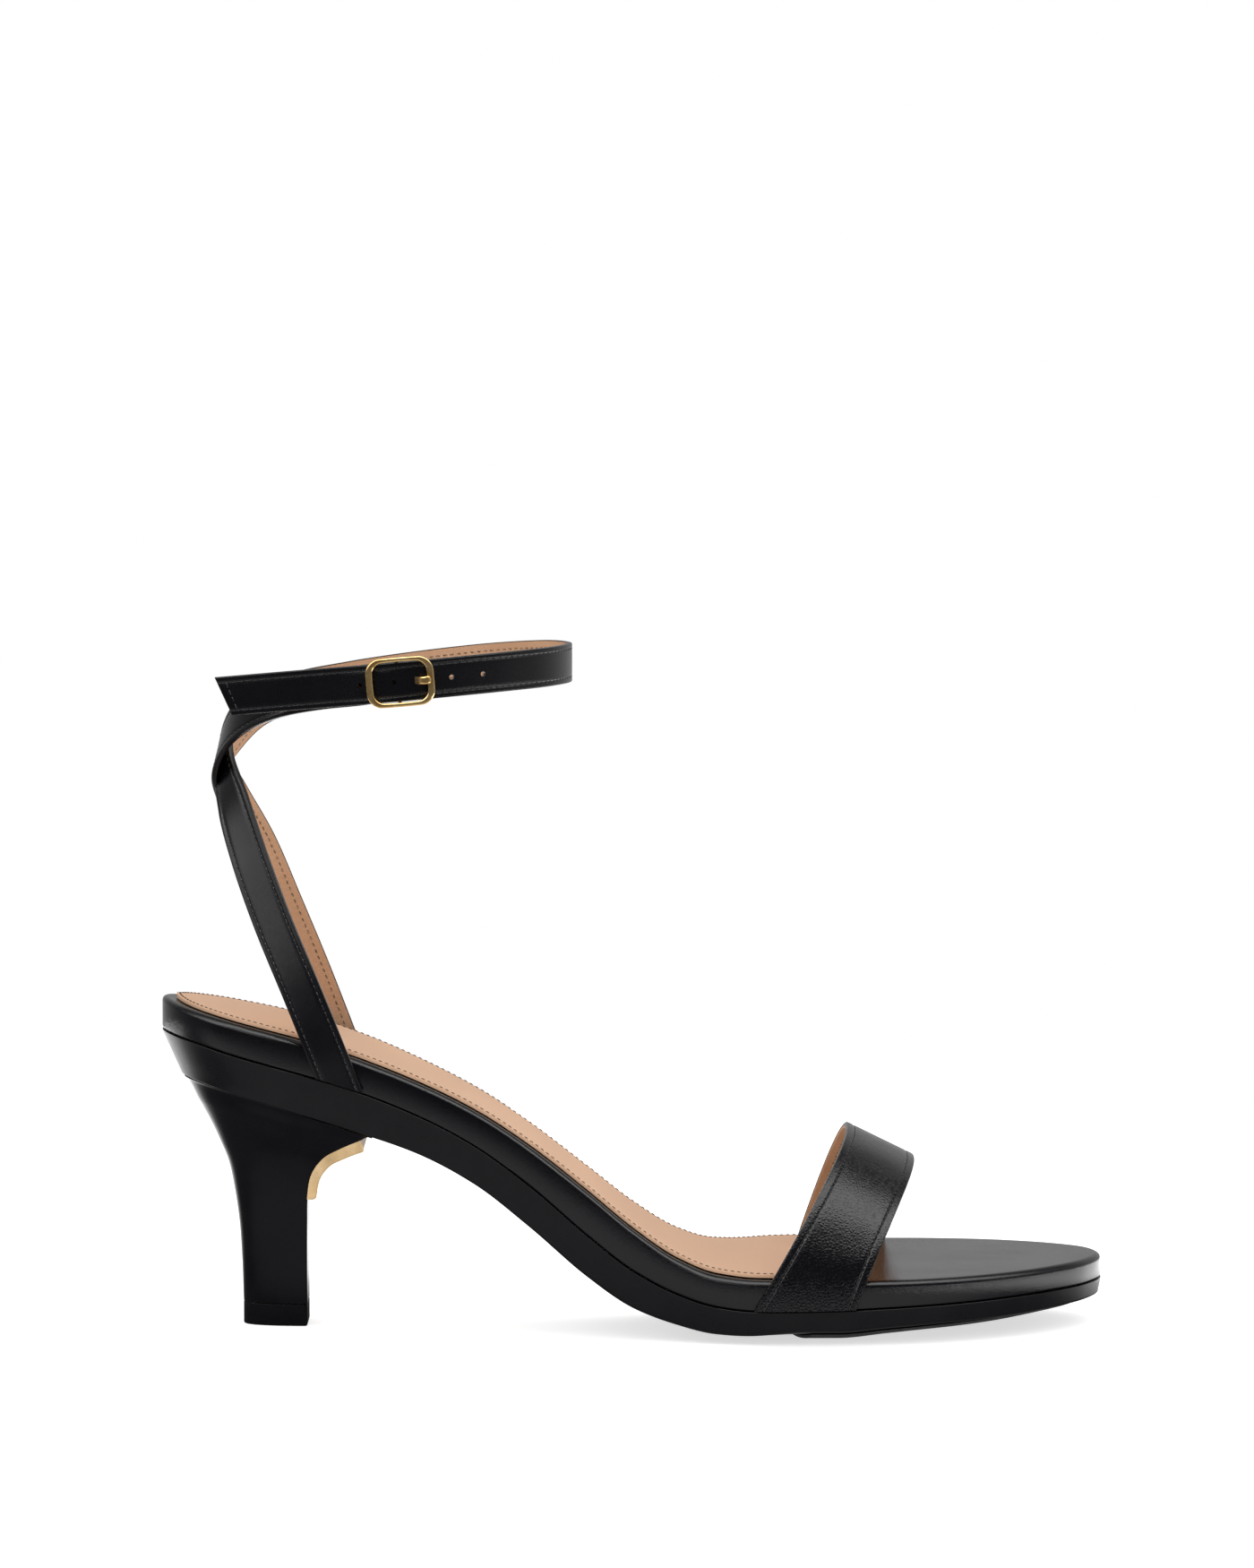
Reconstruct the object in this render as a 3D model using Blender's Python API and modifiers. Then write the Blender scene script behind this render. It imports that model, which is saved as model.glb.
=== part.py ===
"""Ankle-strap sandal with a slim curved heel, for the right foot.

Metres, +Z up. +X runs from heel to toe, +Y is the inner side of the foot.
The origin lies on the floor below the middle of the shoe. Sizes and tables are in millimetres.
"""

import math

import bmesh
import bpy
import numpy as np
from mathutils import Matrix, Vector

# Whole shoe
MM = 0.001
SHOE_NAME = "ankle_strap_sandal"
PIECE_GAP = 0.3
SMOOTH_ANGLE = math.radians(40)
WELD_DISTANCE = 0.01

# Layers of the sole unit
SEAM_NOTCH = 0.5
FOOTBED_NOTCH_HEIGHT = 0.6
INSOLE_INSET = 3.6
INSOLE_EDGE = 0.9
INSOLE_CROWN = 0.35
INSOLE_ROUNDING = 0.4
INSOLE_FRONT = 50.0
TREAD_THICKNESS = 0.7
TREAD_INSET = 4.4
TREAD_REAR = 37.5
TREAD_REAR_BOW = 6.0
TREAD_REAR_STEPS = 8
TREAD_ROUNDING = 0.3
SOLE_ROUND_MIDDLE = 0.3
FLAT_HALF_WIDTH = 19.0
EDGE_LIFT_WIDTH = 20.0

# Heel with its top lift and the plate in its hollow front
HEEL_MIDDLE_Y = 1.5
HEEL_ROUNDNESS = 0.78
HEEL_FRONT_CORNER = 0.5
HEEL_SIDE_STEPS = 9
HEEL_TIP_HEIGHT = 5.3
HEEL_TIP_CHAMFER = 0.4
PLATE_THICKNESS = 2.5
PLATE_FOOT_THICKNESS = 1.8
PLATE_FRONT = -65.6
PLATE_BOTTOM = 31.3
PLATE_SIDE_MARGIN = 0.3
PLATE_ROUNDING = 0.5
PLATE_CLEARANCE = 0.35
PLATE_HEEL_ROWS = 7
PLATE_SECTIONS = 11

# Straps
TOE_STRAP_THICKNESS = 1.6
TOE_STRAP_ROUNDNESS = 2.3
TOE_STRAP_CLEARANCE = 0.4
TOE_STRAP_ROWS = 28
TOE_STRAP_COLUMNS = 6
ANKLE_STRAP_WIDTH = 9.5
ANKLE_STRAP_THICKNESS = 1.4
STRAP_EDGE_ROUNDING = 0.35
STRAP_FOOT_SLANT = 3.8
TAIL_SLANT = -1.7
SLANT_SECTIONS = 5
OUTER_STRAP_SECTIONS = 84
INNER_STRAP_SECTIONS = 66
BAR_LOOP_MIDDLE = (-56.0, -30.1, 160.1)
BAR_LOOP_RADIUS = 2.0
BAR_LOOP_START = 255.0
BAR_LOOP_TURN = 180.0
BAR_LOOP_STEPS = 6
PRONG_HOLE_RADIUS = 1.4
PRONG_HOLE_DEPTH = 5.0
PRONG_HOLE_PLACE = (3.9, 0.0, -1.9)
PRONG_HOLE_SIDES = 16

# Buckle, in its own axes: x along the strap, y across it, z out from the ankle
BUCKLE_LENGTH = 16.5
BUCKLE_HEIGHT = 12.0
BUCKLE_BAR = 1.1
BUCKLE_SIDE_BAR = 1.65
BUCKLE_CORNER = 3.3
BUCKLE_INNER_CORNER = 2.2
BUCKLE_CORNER_STEPS = 5
BUCKLE_TILT = math.radians(5.0)
BUCKLE_MIDDLE = (-55.4, -35.4, 160.2)
CENTRE_BAR_DEPTH = 5.3
CENTRE_BAR_RADIUS = 0.45
CENTRE_BAR_SHIFT = -0.6
CENTRE_BAR_BEND = 0.9
PRONG_RADIUS = 0.75
WIRE_FINENESS = 2
PRONG_PATH = [
    (3.6, 0.0, -3.2),
    (3.85, 0.0, -1.9),
    (4.4, 0.0, -0.4),
    (5.2, 0.0, 0.8),
    (6.3, 0.0, 1.6),
    (7.5, 0.0, 1.65),
]

# Mesh fineness
SIDE_POINTS = 42
CAP_COLUMNS = 4
CURVE_FINENESS = 12

# Outline of the footbed seen from above, heel tip to toe tip
# columns: x, y
LATERAL_EDGE = [
    (-115.0, 1.5),
    (-111.5, -10.0),
    (-103.0, -19.0),
    (-88.0, -25.0),
    (-70.0, -25.4),
    (-45.0, -24.2),
    (-20.0, -26.4),
    (5.0, -32.4),
    (30.0, -39.2),
    (48.0, -40.0),
    (68.0, -37.3),
    (86.0, -30.0),
    (101.4, -18.5),
    (111.8, -6.0),
    (115.9, 7.0),
]
MEDIAL_EDGE = [
    (-115.0, 1.5),
    (-111.5, 13.0),
    (-103.0, 22.0),
    (-88.0, 27.4),
    (-66.0, 25.4),
    (-40.0, 18.8),
    (-15.0, 14.6),
    (10.0, 19.8),
    (35.0, 37.6),
    (57.0, 40.0),
    (75.0, 38.9),
    (92.0, 34.2),
    (106.0, 25.4),
    (113.8, 16.0),
    (115.9, 7.0),
]

# Heights of the layers along the shoe
# columns: x, footbed top, seam between footbed and sole, underside of the sole
LAYER_HEIGHTS = [
    (-115.0, 81.4, 73.1, 63.0),
    (-108.0, 79.3, 71.6, 61.6),
    (-97.5, 76.7, 68.8, 59.0),
    (-81.0, 72.7, 64.6, 54.4),
    (-67.0, 68.2, 60.3, 50.0),
    (-52.0, 62.1, 54.2, 44.6),
    (-38.0, 55.2, 46.8, 37.1),
    (-24.6, 46.6, 37.2, 26.8),
    (-10.7, 36.0, 25.5, 15.1),
    (0.5, 27.1, 17.2, 7.8),
    (11.3, 20.2, 11.9, 3.9),
    (20.6, 16.9, 9.3, 1.7),
    (30.0, 16.0, 8.5, 1.0),
    (50.0, 15.9, 8.8, 1.0),
    (62.0, 15.9, 9.2, 2.2),
    (75.0, 16.0, 9.6, 3.6),
    (96.0, 16.3, 10.3, 5.7),
    (115.9, 16.8, 11.0, 6.9),
]

# How far the sole's lower edge lies inside its upper edge, its rounding, and how far the
# underside rises from its flat middle to that edge
# columns: x, taper, rounding, edge lift
SOLE_EDGE = [
    (-115.0, 4.5, 0.4, 0.0),
    (-100.0, 3.8, 0.4, 0.0),
    (-75.0, 3.0, 0.5, 0.0),
    (-40.0, 2.0, 0.8, 0.0),
    (0.0, 1.4, 1.0, 0.4),
    (30.0, 1.3, 1.0, 1.6),
    (42.0, 1.2, 1.0, 2.5),
    (60.0, 1.2, 1.0, 2.6),
    (115.9, 0.6, 0.7, 2.3),
]

# Rounded top edge of the footbed
# columns: inset, drop below the top
FOOTBED_ROUNDING = [
    (0.0, 1.6),
    (0.22, 0.74),
    (0.74, 0.22),
    (1.6, 0.0),
]

# Heel sections from the seat down, each a D with its flat side to the front
# columns: x back, z back, x front, z front, half width
HEEL_SECTIONS = [
    (-109.6, 61.0, -62.9, 48.5, 22.6),
    (-106.1, 55.6, -66.5, 47.0, 19.6),
    (-103.3, 50.4, -70.9, 44.8, 16.4),
    (-101.0, 45.4, -75.1, 42.1, 13.4),
    (-98.9, 40.2, -78.0, 38.0, 11.2),
    (-97.4, 33.0, -79.1, 32.4, 9.4),
    (-96.4, 26.0, -79.3, 26.0, 8.4),
    (-95.7, 16.0, -79.4, 16.0, 7.5),
    (-95.3, HEEL_TIP_HEIGHT + PIECE_GAP, -79.4, HEEL_TIP_HEIGHT + PIECE_GAP, 7.0),
]

# Rear and front edge of the toe strap: each is an arch that leans forward from the seam
# columns: x at the outer seam, x at the inner seam, x at the crown, z at the crown, backward bow
TOE_STRAP_EDGES = [
    (29.6, 39.5, 52.4, 48.0, 0.0),
    (54.2, 63.0, 69.0, 39.8, 1.0),
]

# Outer strap: from the outer seam round the back, the inner side and the front to its free end
# columns: x, y, z of its middle line, direction that its outer face looks to, in degrees,
# and how far that face leans upward, in degrees
OUTER_STRAP = [
    (-70.6, -27.2, 61.9, -90.0, 0.0),
    (-74.3, -27.6, 71.5, -90.0, 0.0),
    (-79.9, -25.6, 85.0, -93.0, 0.0),
    (-87.1, -20.4, 101.5, -99.0, 0.0),
    (-93.1, -13.8, 117.0, -110.0, 3.0),
    (-97.0, -7.2, 128.6, -128.0, 8.0),
    (-99.4, 1.3, 138.0, -164.0, 12.0),
    (-97.2, 8.8, 144.2, -201.0, 12.0),
    (-92.4, 16.4, 150.1, -224.0, 8.0),
    (-84.4, 23.4, 153.7, -239.0, 4.0),
    (-69.6, 30.2, 156.5, -257.0, 0.0),
    (-52.0, 32.4, 159.0, -273.0, 0.0),
    (-34.0, 28.4, 161.2, -297.0, 0.0),
    (-20.6, 17.6, 162.5, -327.0, 0.0),
    (-15.1, 1.5, 162.8, -360.0, 0.0),
    (-19.8, -14.6, 162.6, -394.0, 0.0),
    (-32.0, -26.4, 162.0, -420.0, 0.0),
    (-46.6, -32.1, 160.9, -443.0, 0.0),
    (-51.6, -33.3, 160.5, -448.0, 0.0),
    (-56.0, -33.8, 160.1, -451.0, 0.0),
    (-60.4, -33.2, 159.7, -453.0, 0.0),
    (-64.8, -32.3, 159.3, -455.0, 0.0),
    (-80.0, -31.6, 158.05, -453.0, 0.0),
    (-98.0, -30.4, 156.45, -453.0, 0.0),
]

# Inner strap: from the inner seam round the back, outside the other strap, to the buckle bar,
# and the end that is turned back on itself behind that bar
# columns: as in the outer strap's table
INNER_STRAP = [
    (-70.8, 28.2, 61.6, 90.0, 0.0),
    (-74.6, 28.9, 71.5, 90.0, 0.0),
    (-79.7, 27.2, 85.0, 94.0, 0.0),
    (-86.2, 22.6, 101.5, 102.0, 0.0),
    (-92.2, 16.2, 117.0, 116.0, 3.0),
    (-97.7, 9.4, 128.8, 142.0, 8.0),
    (-100.9, 1.3, 138.2, 176.0, 15.0),
    (-98.5, -6.8, 146.0, 202.0, 20.0),
    (-93.2, -14.4, 151.6, 222.0, 14.0),
    (-85.8, -21.2, 155.3, 237.0, 6.0),
    (-75.0, -26.5, 157.7, 249.0, 0.0),
    (-66.0, -29.4, 158.8, 255.0, 0.0),
]
TURNED_END = [
    (-61.5, -28.4, 159.5, 435.0, 0.0),
    (-68.0, -26.7, 158.6, 432.0, 0.0),
]

# Finishes
# columns: piece, red, green, blue, roughness, metallic
FINISHES = [
    ("footbed", 0.018, 0.018, 0.020, 0.42, 0.0),
    ("insole", 0.640, 0.450, 0.310, 0.55, 0.0),
    ("sole", 0.014, 0.014, 0.016, 0.35, 0.0),
    ("forefoot_tread", 0.050, 0.050, 0.052, 0.75, 0.0),
    ("heel", 0.012, 0.012, 0.014, 0.18, 0.0),
    ("heel_tip", 0.020, 0.020, 0.022, 0.50, 0.0),
    ("heel_breast_plate", 0.830, 0.600, 0.300, 0.20, 1.0),
    ("toe_strap", 0.018, 0.018, 0.020, 0.40, 0.0),
    ("ankle_straps", 0.018, 0.018, 0.020, 0.40, 0.0),
    ("buckle_frame", 0.830, 0.600, 0.300, 0.18, 1.0),
    ("buckle_prong", 0.830, 0.600, 0.300, 0.18, 1.0),
]


def blended(t, start, end, start_slope, end_slope, span):
    """Cubic between two values with given slopes, at share t of a span."""
    rest = 1 - t
    ends = start * (1 + 2 * t) * rest**2 + end * (3 - 2 * t) * t**2
    return ends + span * (start_slope * t * rest**2 - end_slope * rest * t**2)


def table_curve(rows, column):
    """Smooth height table without overshoot: a function of x."""
    table = np.array(rows, float)
    xs = table[:, 0]
    ys = table[:, column]
    spans = np.diff(xs)
    rises = np.diff(ys) / spans
    slopes = np.zeros(len(xs))
    slopes[0] = rises[0]
    slopes[-1] = rises[-1]
    for i in range(1, len(xs) - 1):
        before, after = rises[i - 1], rises[i]
        if before * after > 0:
            slopes[i] = 2 * before * after / (before + after)

    def height(x):
        x = np.clip(x, xs[0], xs[-1])
        k = np.clip(np.searchsorted(xs, x, side="right") - 1, 0, len(spans) - 1)
        return blended((x - xs[k]) / spans[k], ys[k], ys[k + 1], slopes[k], slopes[k + 1], spans[k])

    return height


def even_points(points, count):
    """Points spaced evenly along a polyline, both ends kept."""
    points = np.array(points, float)
    spans = np.linalg.norm(np.diff(points[:, :3], axis=0), axis=1)
    travel = np.concatenate([[0.0], np.cumsum(spans)])
    wanted = np.linspace(0.0, travel[-1], count)
    return np.column_stack([np.interp(wanted, travel, column) for column in points.T])


def curve_through(rows):
    """Fine polyline of a smooth curve through the rows; columns past the third ride along."""
    rows = np.array(rows, float)
    spans = np.linalg.norm(np.diff(rows[:, :3], axis=0), axis=1)
    rates = np.diff(rows, axis=0) / spans[:, None]
    slopes = np.empty_like(rows)
    slopes[0] = rates[0]
    slopes[-1] = rates[-1]
    weight = spans[1:, None] / (spans[1:, None] + spans[:-1, None])
    slopes[1:-1] = weight * rates[:-1] + (1 - weight) * rates[1:]
    fine = [
        blended(step / CURVE_FINENESS, rows[i], rows[i + 1], slopes[i], slopes[i + 1], span)
        for i, span in enumerate(spans)
        for step in range(CURVE_FINENESS)
    ]
    return np.array(fine + [rows[-1]])


def unit_rows(vectors):
    return vectors / np.linalg.norm(vectors, axis=1)[:, None]


footbed_top = table_curve(LAYER_HEIGHTS, 1)
seam_height = table_curve(LAYER_HEIGHTS, 2)
sole_under = table_curve(LAYER_HEIGHTS, 3)
sole_taper = table_curve(SOLE_EDGE, 1)
sole_rounding = table_curve(SOLE_EDGE, 2)
sole_edge_lift = table_curve(SOLE_EDGE, 3)


def footbed_sides():
    """Outer and inner edge of the footbed, heel tip to toe tip, from one smooth closed outline."""
    loop_rows = LATERAL_EDGE + MEDIAL_EDGE[-2:0:-1]
    lead = 3
    wrapped = loop_rows[-lead:] + loop_rows + loop_rows[:lead + 1]
    fine = curve_through(wrapped)
    start = lead * CURVE_FINENESS
    turn = start + (len(LATERAL_EDGE) - 1) * CURVE_FINENESS
    end = start + len(loop_rows) * CURVE_FINENESS
    return fine[start:turn + 1], fine[turn:end + 1][::-1]


def closed_loop(lateral, medial):
    """One loop from two sides that share both tips, each side evenly spaced."""
    first = even_points(lateral, SIDE_POINTS + 1)
    second = even_points(medial, SIDE_POINTS + 1)
    return np.vstack([first, second[-2:0:-1]])


def loop_sides(loop):
    """The two sides of such a loop, both from heel to toe."""
    return loop[:SIDE_POINTS + 1], np.vstack([loop[:1], loop[:SIDE_POINTS - 1:-1]])


def inset_loop(loop, distance):
    """The loop moved inward in the plan by a distance, which may differ from point to point."""
    along = unit_rows(np.roll(loop, -1, axis=0) - np.roll(loop, 1, axis=0))
    inward = np.column_stack([-along[:, 1], along[:, 0]])
    return loop + inward * np.broadcast_to(distance, len(loop))[:, None]


FOOTBED_LOOP = closed_loop(*footbed_sides())


def underside(x, y):
    """Underside of the sole: flat across its middle, its edges raised at the forefoot."""
    beyond = np.clip((np.abs(y) - FLAT_HALF_WIDTH) / EDGE_LIFT_WIDTH, 0.0, 1.0)
    return sole_under(x) + sole_edge_lift(x) * beyond**2


def tread_under(x, y):
    return underside(x, y) - PIECE_GAP - TREAD_THICKNESS


def mesh_object(name, points, faces, collection):
    """A smooth-shaded mesh object from points in millimetres, its faces turned outward."""
    mesh = bpy.data.meshes.new(name)
    mesh.from_pydata([tuple(MM * c for c in p) for p in points], [], faces)
    work = bmesh.new()
    work.from_mesh(mesh)
    bmesh.ops.recalc_face_normals(work, faces=work.faces)
    work.to_mesh(mesh)
    work.free()
    mesh.shade_smooth()
    mesh.set_sharp_from_angle(angle=SMOOTH_ANGLE)
    piece = bpy.data.objects.new(name, mesh)
    collection.objects.link(piece)
    return piece


def wall_faces(ring_count, count):
    """Four-sided faces between rings of the same number of points."""
    faces = []
    for low in range(0, (ring_count - 1) * count, count):
        for i in range(count):
            j = (i + 1) % count
            faces.append((low + i, low + j, low + count + j, low + count + i))
    return faces


def loop_slab(name, rings, under, top, collection):
    """A layer closed by two caps. Rings run from its underside up; each is a loop of x, y, z."""
    count = len(rings[0])
    half = count // 2
    points = [tuple(p) for ring in rings for p in ring]
    faces = wall_faces(len(rings), count)
    for first, height in ((0, under), ((len(rings) - 1) * count, top)):
        rows = [[first] * (CAP_COLUMNS + 1)]
        for i in range(1, half):
            left = Vector(points[first + i])
            right = Vector(points[first + count - i])
            row = [first + i]
            for k in range(1, CAP_COLUMNS):
                inner = left.lerp(right, k / CAP_COLUMNS)
                row.append(len(points))
                points.append((inner.x, inner.y, float(height(inner.x, inner.y))))
            row.append(first + count - i)
            rows.append(row)
        rows.append([first + half] * (CAP_COLUMNS + 1))
        for before, after in zip(rows, rows[1:]):
            for k in range(CAP_COLUMNS):
                corners = (before[k], before[k + 1], after[k + 1], after[k])
                faces.append(tuple(dict.fromkeys(corners)))
    return mesh_object(name, points, faces, collection)


def lofted_rings(name, rings, collection):
    """A solid through closed rings of the same number of points, its ends filled across."""
    count = len(rings[0])
    points = [tuple(p) for ring in rings for p in ring]
    faces = wall_faces(len(rings), count)
    for first in (0, (len(rings) - 1) * count):
        left = first
        right = first + count - 1
        while right - left > 1:
            corners = (left, left + 1, right - 1, right)
            faces.append(tuple(dict.fromkeys(corners)))
            left += 1
            right -= 1
    return mesh_object(name, points, faces, collection)


def rings_at(loop, edge):
    """Rings from an edge table of pairs: inset in the plan, height as a function of x and y."""
    rings = []
    for inset, height in edge:
        flat = inset_loop(loop, inset)
        rings.append(np.column_stack([flat, height(flat[:, 0], flat[:, 1])]))
    return rings


def make_footbed(collection):
    """Upper layer of the sole unit: rounded top edge, underside on the seam."""
    def above_seam(lift):
        return lambda x, y: seam_height(x) + PIECE_GAP / 2 + lift

    def below_top(drop):
        return lambda x, y: footbed_top(x) - drop

    edge = [(SEAM_NOTCH, above_seam(0.0)), (0.0, above_seam(FOOTBED_NOTCH_HEIGHT))]
    edge += [(inset, below_top(drop)) for inset, drop in FOOTBED_ROUNDING]
    rings = rings_at(FOOTBED_LOOP, edge)
    return loop_slab("footbed", rings, above_seam(0.0), below_top(0.0), collection)


def make_sole(collection):
    """Lower layer: tapered wall, rounded lower edge, arch, toe spring and heel seat."""
    def top(x, y):
        return seam_height(x) - PIECE_GAP / 2

    def rounded(share):
        return lambda x, y: underside(x, y) + share * sole_rounding(x)

    xs = FOOTBED_LOOP[:, 0]
    taper = sole_taper(xs)
    rounding = sole_rounding(xs)
    edge = [
        (taper + rounding, underside),
        (taper + SOLE_ROUND_MIDDLE * rounding, rounded(SOLE_ROUND_MIDDLE)),
        (taper, rounded(1.0)),
        (0.0, lambda x, y: top(x, y) - SEAM_NOTCH),
        (SEAM_NOTCH, top),
    ]
    return loop_slab("sole", rings_at(FOOTBED_LOOP, edge), underside, top, collection)


def make_insole(collection):
    """Thin crowned sock lining from the heel to below the toe strap."""
    lateral, medial = loop_sides(inset_loop(FOOTBED_LOOP, INSOLE_INSET))
    front = (INSOLE_FRONT, 0.0)
    sides = []
    for side in (lateral, medial):
        kept = side[side[:, 0] < INSOLE_FRONT]
        corner = (INSOLE_FRONT, np.interp(INSOLE_FRONT, side[:, 0], side[:, 1]))
        sides.append(np.vstack([kept, corner, front]))
    outline = closed_loop(*sides)

    def under(x, y):
        return footbed_top(x) + PIECE_GAP

    def edge_top(x, y):
        return under(x, y) + INSOLE_EDGE

    def crown(x, y):
        half = np.interp(x, lateral[:, 0], -lateral[:, 1])
        across = np.clip(np.abs(y) / half, 0.0, 1.0)
        return edge_top(x, y) + INSOLE_CROWN * (1 - across**2)

    edge = [
        (0.0, under),
        (0.0, lambda x, y: edge_top(x, y) - INSOLE_ROUNDING),
        (INSOLE_ROUNDING, edge_top),
    ]
    return loop_slab("insole", rings_at(outline, edge), under, crown, collection)


def make_forefoot_tread(collection):
    """Rubber pad with a bowed rear edge and a flat spot that stands on the floor."""
    corner_x = TREAD_REAR + TREAD_REAR_BOW
    shares = np.linspace(0.0, 1.0, TREAD_REAR_STEPS + 1)
    sides = []
    for side in loop_sides(inset_loop(FOOTBED_LOOP, TREAD_INSET)):
        corner_y = np.interp(corner_x, side[:, 0], side[:, 1])
        rear = np.column_stack([TREAD_REAR + TREAD_REAR_BOW * shares**2, corner_y * shares])
        sides.append(np.vstack([rear, side[side[:, 0] > corner_x + TREAD_ROUNDING]]))
    outline = closed_loop(*sides)

    def top(x, y):
        return underside(x, y) - PIECE_GAP

    edge = [
        (TREAD_ROUNDING, tread_under),
        (0.0, lambda x, y: tread_under(x, y) + TREAD_ROUNDING),
        (0.0, top),
    ]
    return loop_slab("forefoot_tread", rings_at(outline, edge), tread_under, top, collection)


def heel_ring(x_back, x_front, half_width, height):
    """One D-shaped section: flat front, small front corners, rounded back."""
    round_depth = x_front - HEEL_FRONT_CORNER - x_back
    half = [(x_front, half_width - HEEL_FRONT_CORNER)]
    for k in range(HEEL_SIDE_STEPS + 1):
        turn = math.radians(90) * k / HEEL_SIDE_STEPS
        x = x_front - HEEL_FRONT_CORNER - round_depth * math.sin(turn)
        half.append((x, half_width * max(math.cos(turn), 0.0) ** HEEL_ROUNDNESS))
    flat = half + [(x, -y) for x, y in half[-2::-1]]
    return [(x, y + HEEL_MIDDLE_Y, height(x, y + HEEL_MIDDLE_Y)) for x, y in flat]


def make_heel(collection):
    """Heel block: seat cut to the sole's underside, concave front, slim straight shaft."""
    def seat(x, y):
        return float(underside(x, y)) - PIECE_GAP

    def slanted(x_back, z_back, x_front, z_front):
        slope = (z_front - z_back) / (x_front - x_back)
        return lambda x, y: z_back + slope * (x - x_back)

    rings = []
    for x_back, z_back, x_front, z_front, half_width in HEEL_SECTIONS:
        height = slanted(x_back, z_back, x_front, z_front) if rings else seat
        rings.append(heel_ring(x_back, x_front, half_width, height))
    return lofted_rings("heel", rings, collection)


def make_heel_tip(collection):
    """Top lift under the heel, its walking edge chamfered."""
    x_back, _, x_front, _, half_width = HEEL_SECTIONS[-1]
    levels = [(HEEL_TIP_HEIGHT, 0.0), (HEEL_TIP_CHAMFER, 0.0), (0.0, HEEL_TIP_CHAMFER)]
    rings = [
        heel_ring(x_back + shrink, x_front - shrink, half_width - shrink, lambda x, y, z=z: z)
        for z, shrink in levels
    ]
    return lofted_rings("heel_tip", rings, collection)


def make_breast_plate(collection):
    """Curved plate that lies in the hollow between heel and sole."""
    front = [(row[2], row[3], row[4]) for row in HEEL_SECTIONS[:PLATE_HEEL_ROWS]]
    fine = curve_through(front)
    kept = fine[(fine[:, 0] < PLATE_FRONT) & (fine[:, 1] > PLATE_BOTTOM)]
    path = even_points(kept, PLATE_SECTIONS)
    along = unit_rows(np.gradient(path[:, :2], axis=0))
    outward = np.column_stack([-along[:, 1], along[:, 0]])
    rings = []
    for k, ((x, z, half_width), (out_x, out_z)) in enumerate(zip(path, outward)):
        end_rounding = PLATE_ROUNDING if k in (0, PLATE_SECTIONS - 1) else 0.0
        share = k / (PLATE_SECTIONS - 1)
        thickness = PLATE_THICKNESS + (PLATE_FOOT_THICKNESS - PLATE_THICKNESS) * share
        near = PLATE_CLEARANCE + end_rounding
        far = PIECE_GAP + thickness - end_rounding
        half = half_width - PLATE_SIDE_MARGIN
        side_of = [
            (near, -half), (far - PLATE_ROUNDING, -half), (far, PLATE_ROUNDING - half),
            (far, half - PLATE_ROUNDING), (far - PLATE_ROUNDING, half), (near, half),
        ]
        rings.append([(x + out_x * depth, HEEL_MIDDLE_Y + y, z + out_z * depth) for depth, y in side_of])
    return lofted_rings("heel_breast_plate", rings, collection)


def make_toe_strap(collection):
    """Wide band that leans forward over the toes, a shell from seam to seam."""
    lateral, medial = footbed_sides()
    rear, front = np.array(TOE_STRAP_EDGES)
    bulge = 2 / TOE_STRAP_ROUNDNESS
    points = []
    for r in range(TOE_STRAP_ROWS + 1):
        turn = math.pi * r / TOE_STRAP_ROWS
        rise = abs(math.sin(turn)) ** bulge
        swing = abs(math.cos(turn)) ** bulge
        on_outer_side = turn < math.pi / 2
        side = lateral if on_outer_side else medial
        for c in range(TOE_STRAP_COLUMNS + 1):
            outer_x, inner_x, crown_x, crown_z, bow = rear + c / TOE_STRAP_COLUMNS * (front - rear)
            foot_x = outer_x if on_outer_side else inner_x
            x = foot_x + (crown_x - foot_x) * rise - bow * 4 * rise * (1 - rise)
            edge_y = np.interp(x, side[:, 0], side[:, 1])
            edge_y += math.copysign(TOE_STRAP_CLEARANCE, edge_y)
            foot_z = seam_height(foot_x) + PIECE_GAP
            points.append((x, edge_y * swing, foot_z + (crown_z - foot_z) * rise))
    width = TOE_STRAP_COLUMNS + 1
    faces = []
    for r in range(TOE_STRAP_ROWS):
        for c in range(TOE_STRAP_COLUMNS):
            a = r * width + c
            faces.append((a, a + 1, a + width + 1, a + width))
    strap = mesh_object("toe_strap", points, faces, collection)
    crown_face = strap.data.polygons[len(faces) // 2]
    if crown_face.normal.z < 0:
        strap.data.flip_normals()
    shell = strap.modifiers.new("leather and lining", "SOLIDIFY")
    shell.thickness = TOE_STRAP_THICKNESS * MM
    shell.offset = 1.0
    shell.use_even_offset = True
    return strap


def strap_section():
    """Outline of a flat strap with eased edges: places across it and out from it."""
    wide = ANKLE_STRAP_WIDTH / 2
    thick = ANKLE_STRAP_THICKNESS / 2
    ease = STRAP_EDGE_ROUNDING
    half = [(0.0, thick), (wide - ease, thick), (wide, thick - ease)]
    outer = [(-y, z) for y, z in reversed(half)] + half[1:]
    return outer + [(y, -z) for y, z in reversed(outer)]


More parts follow.
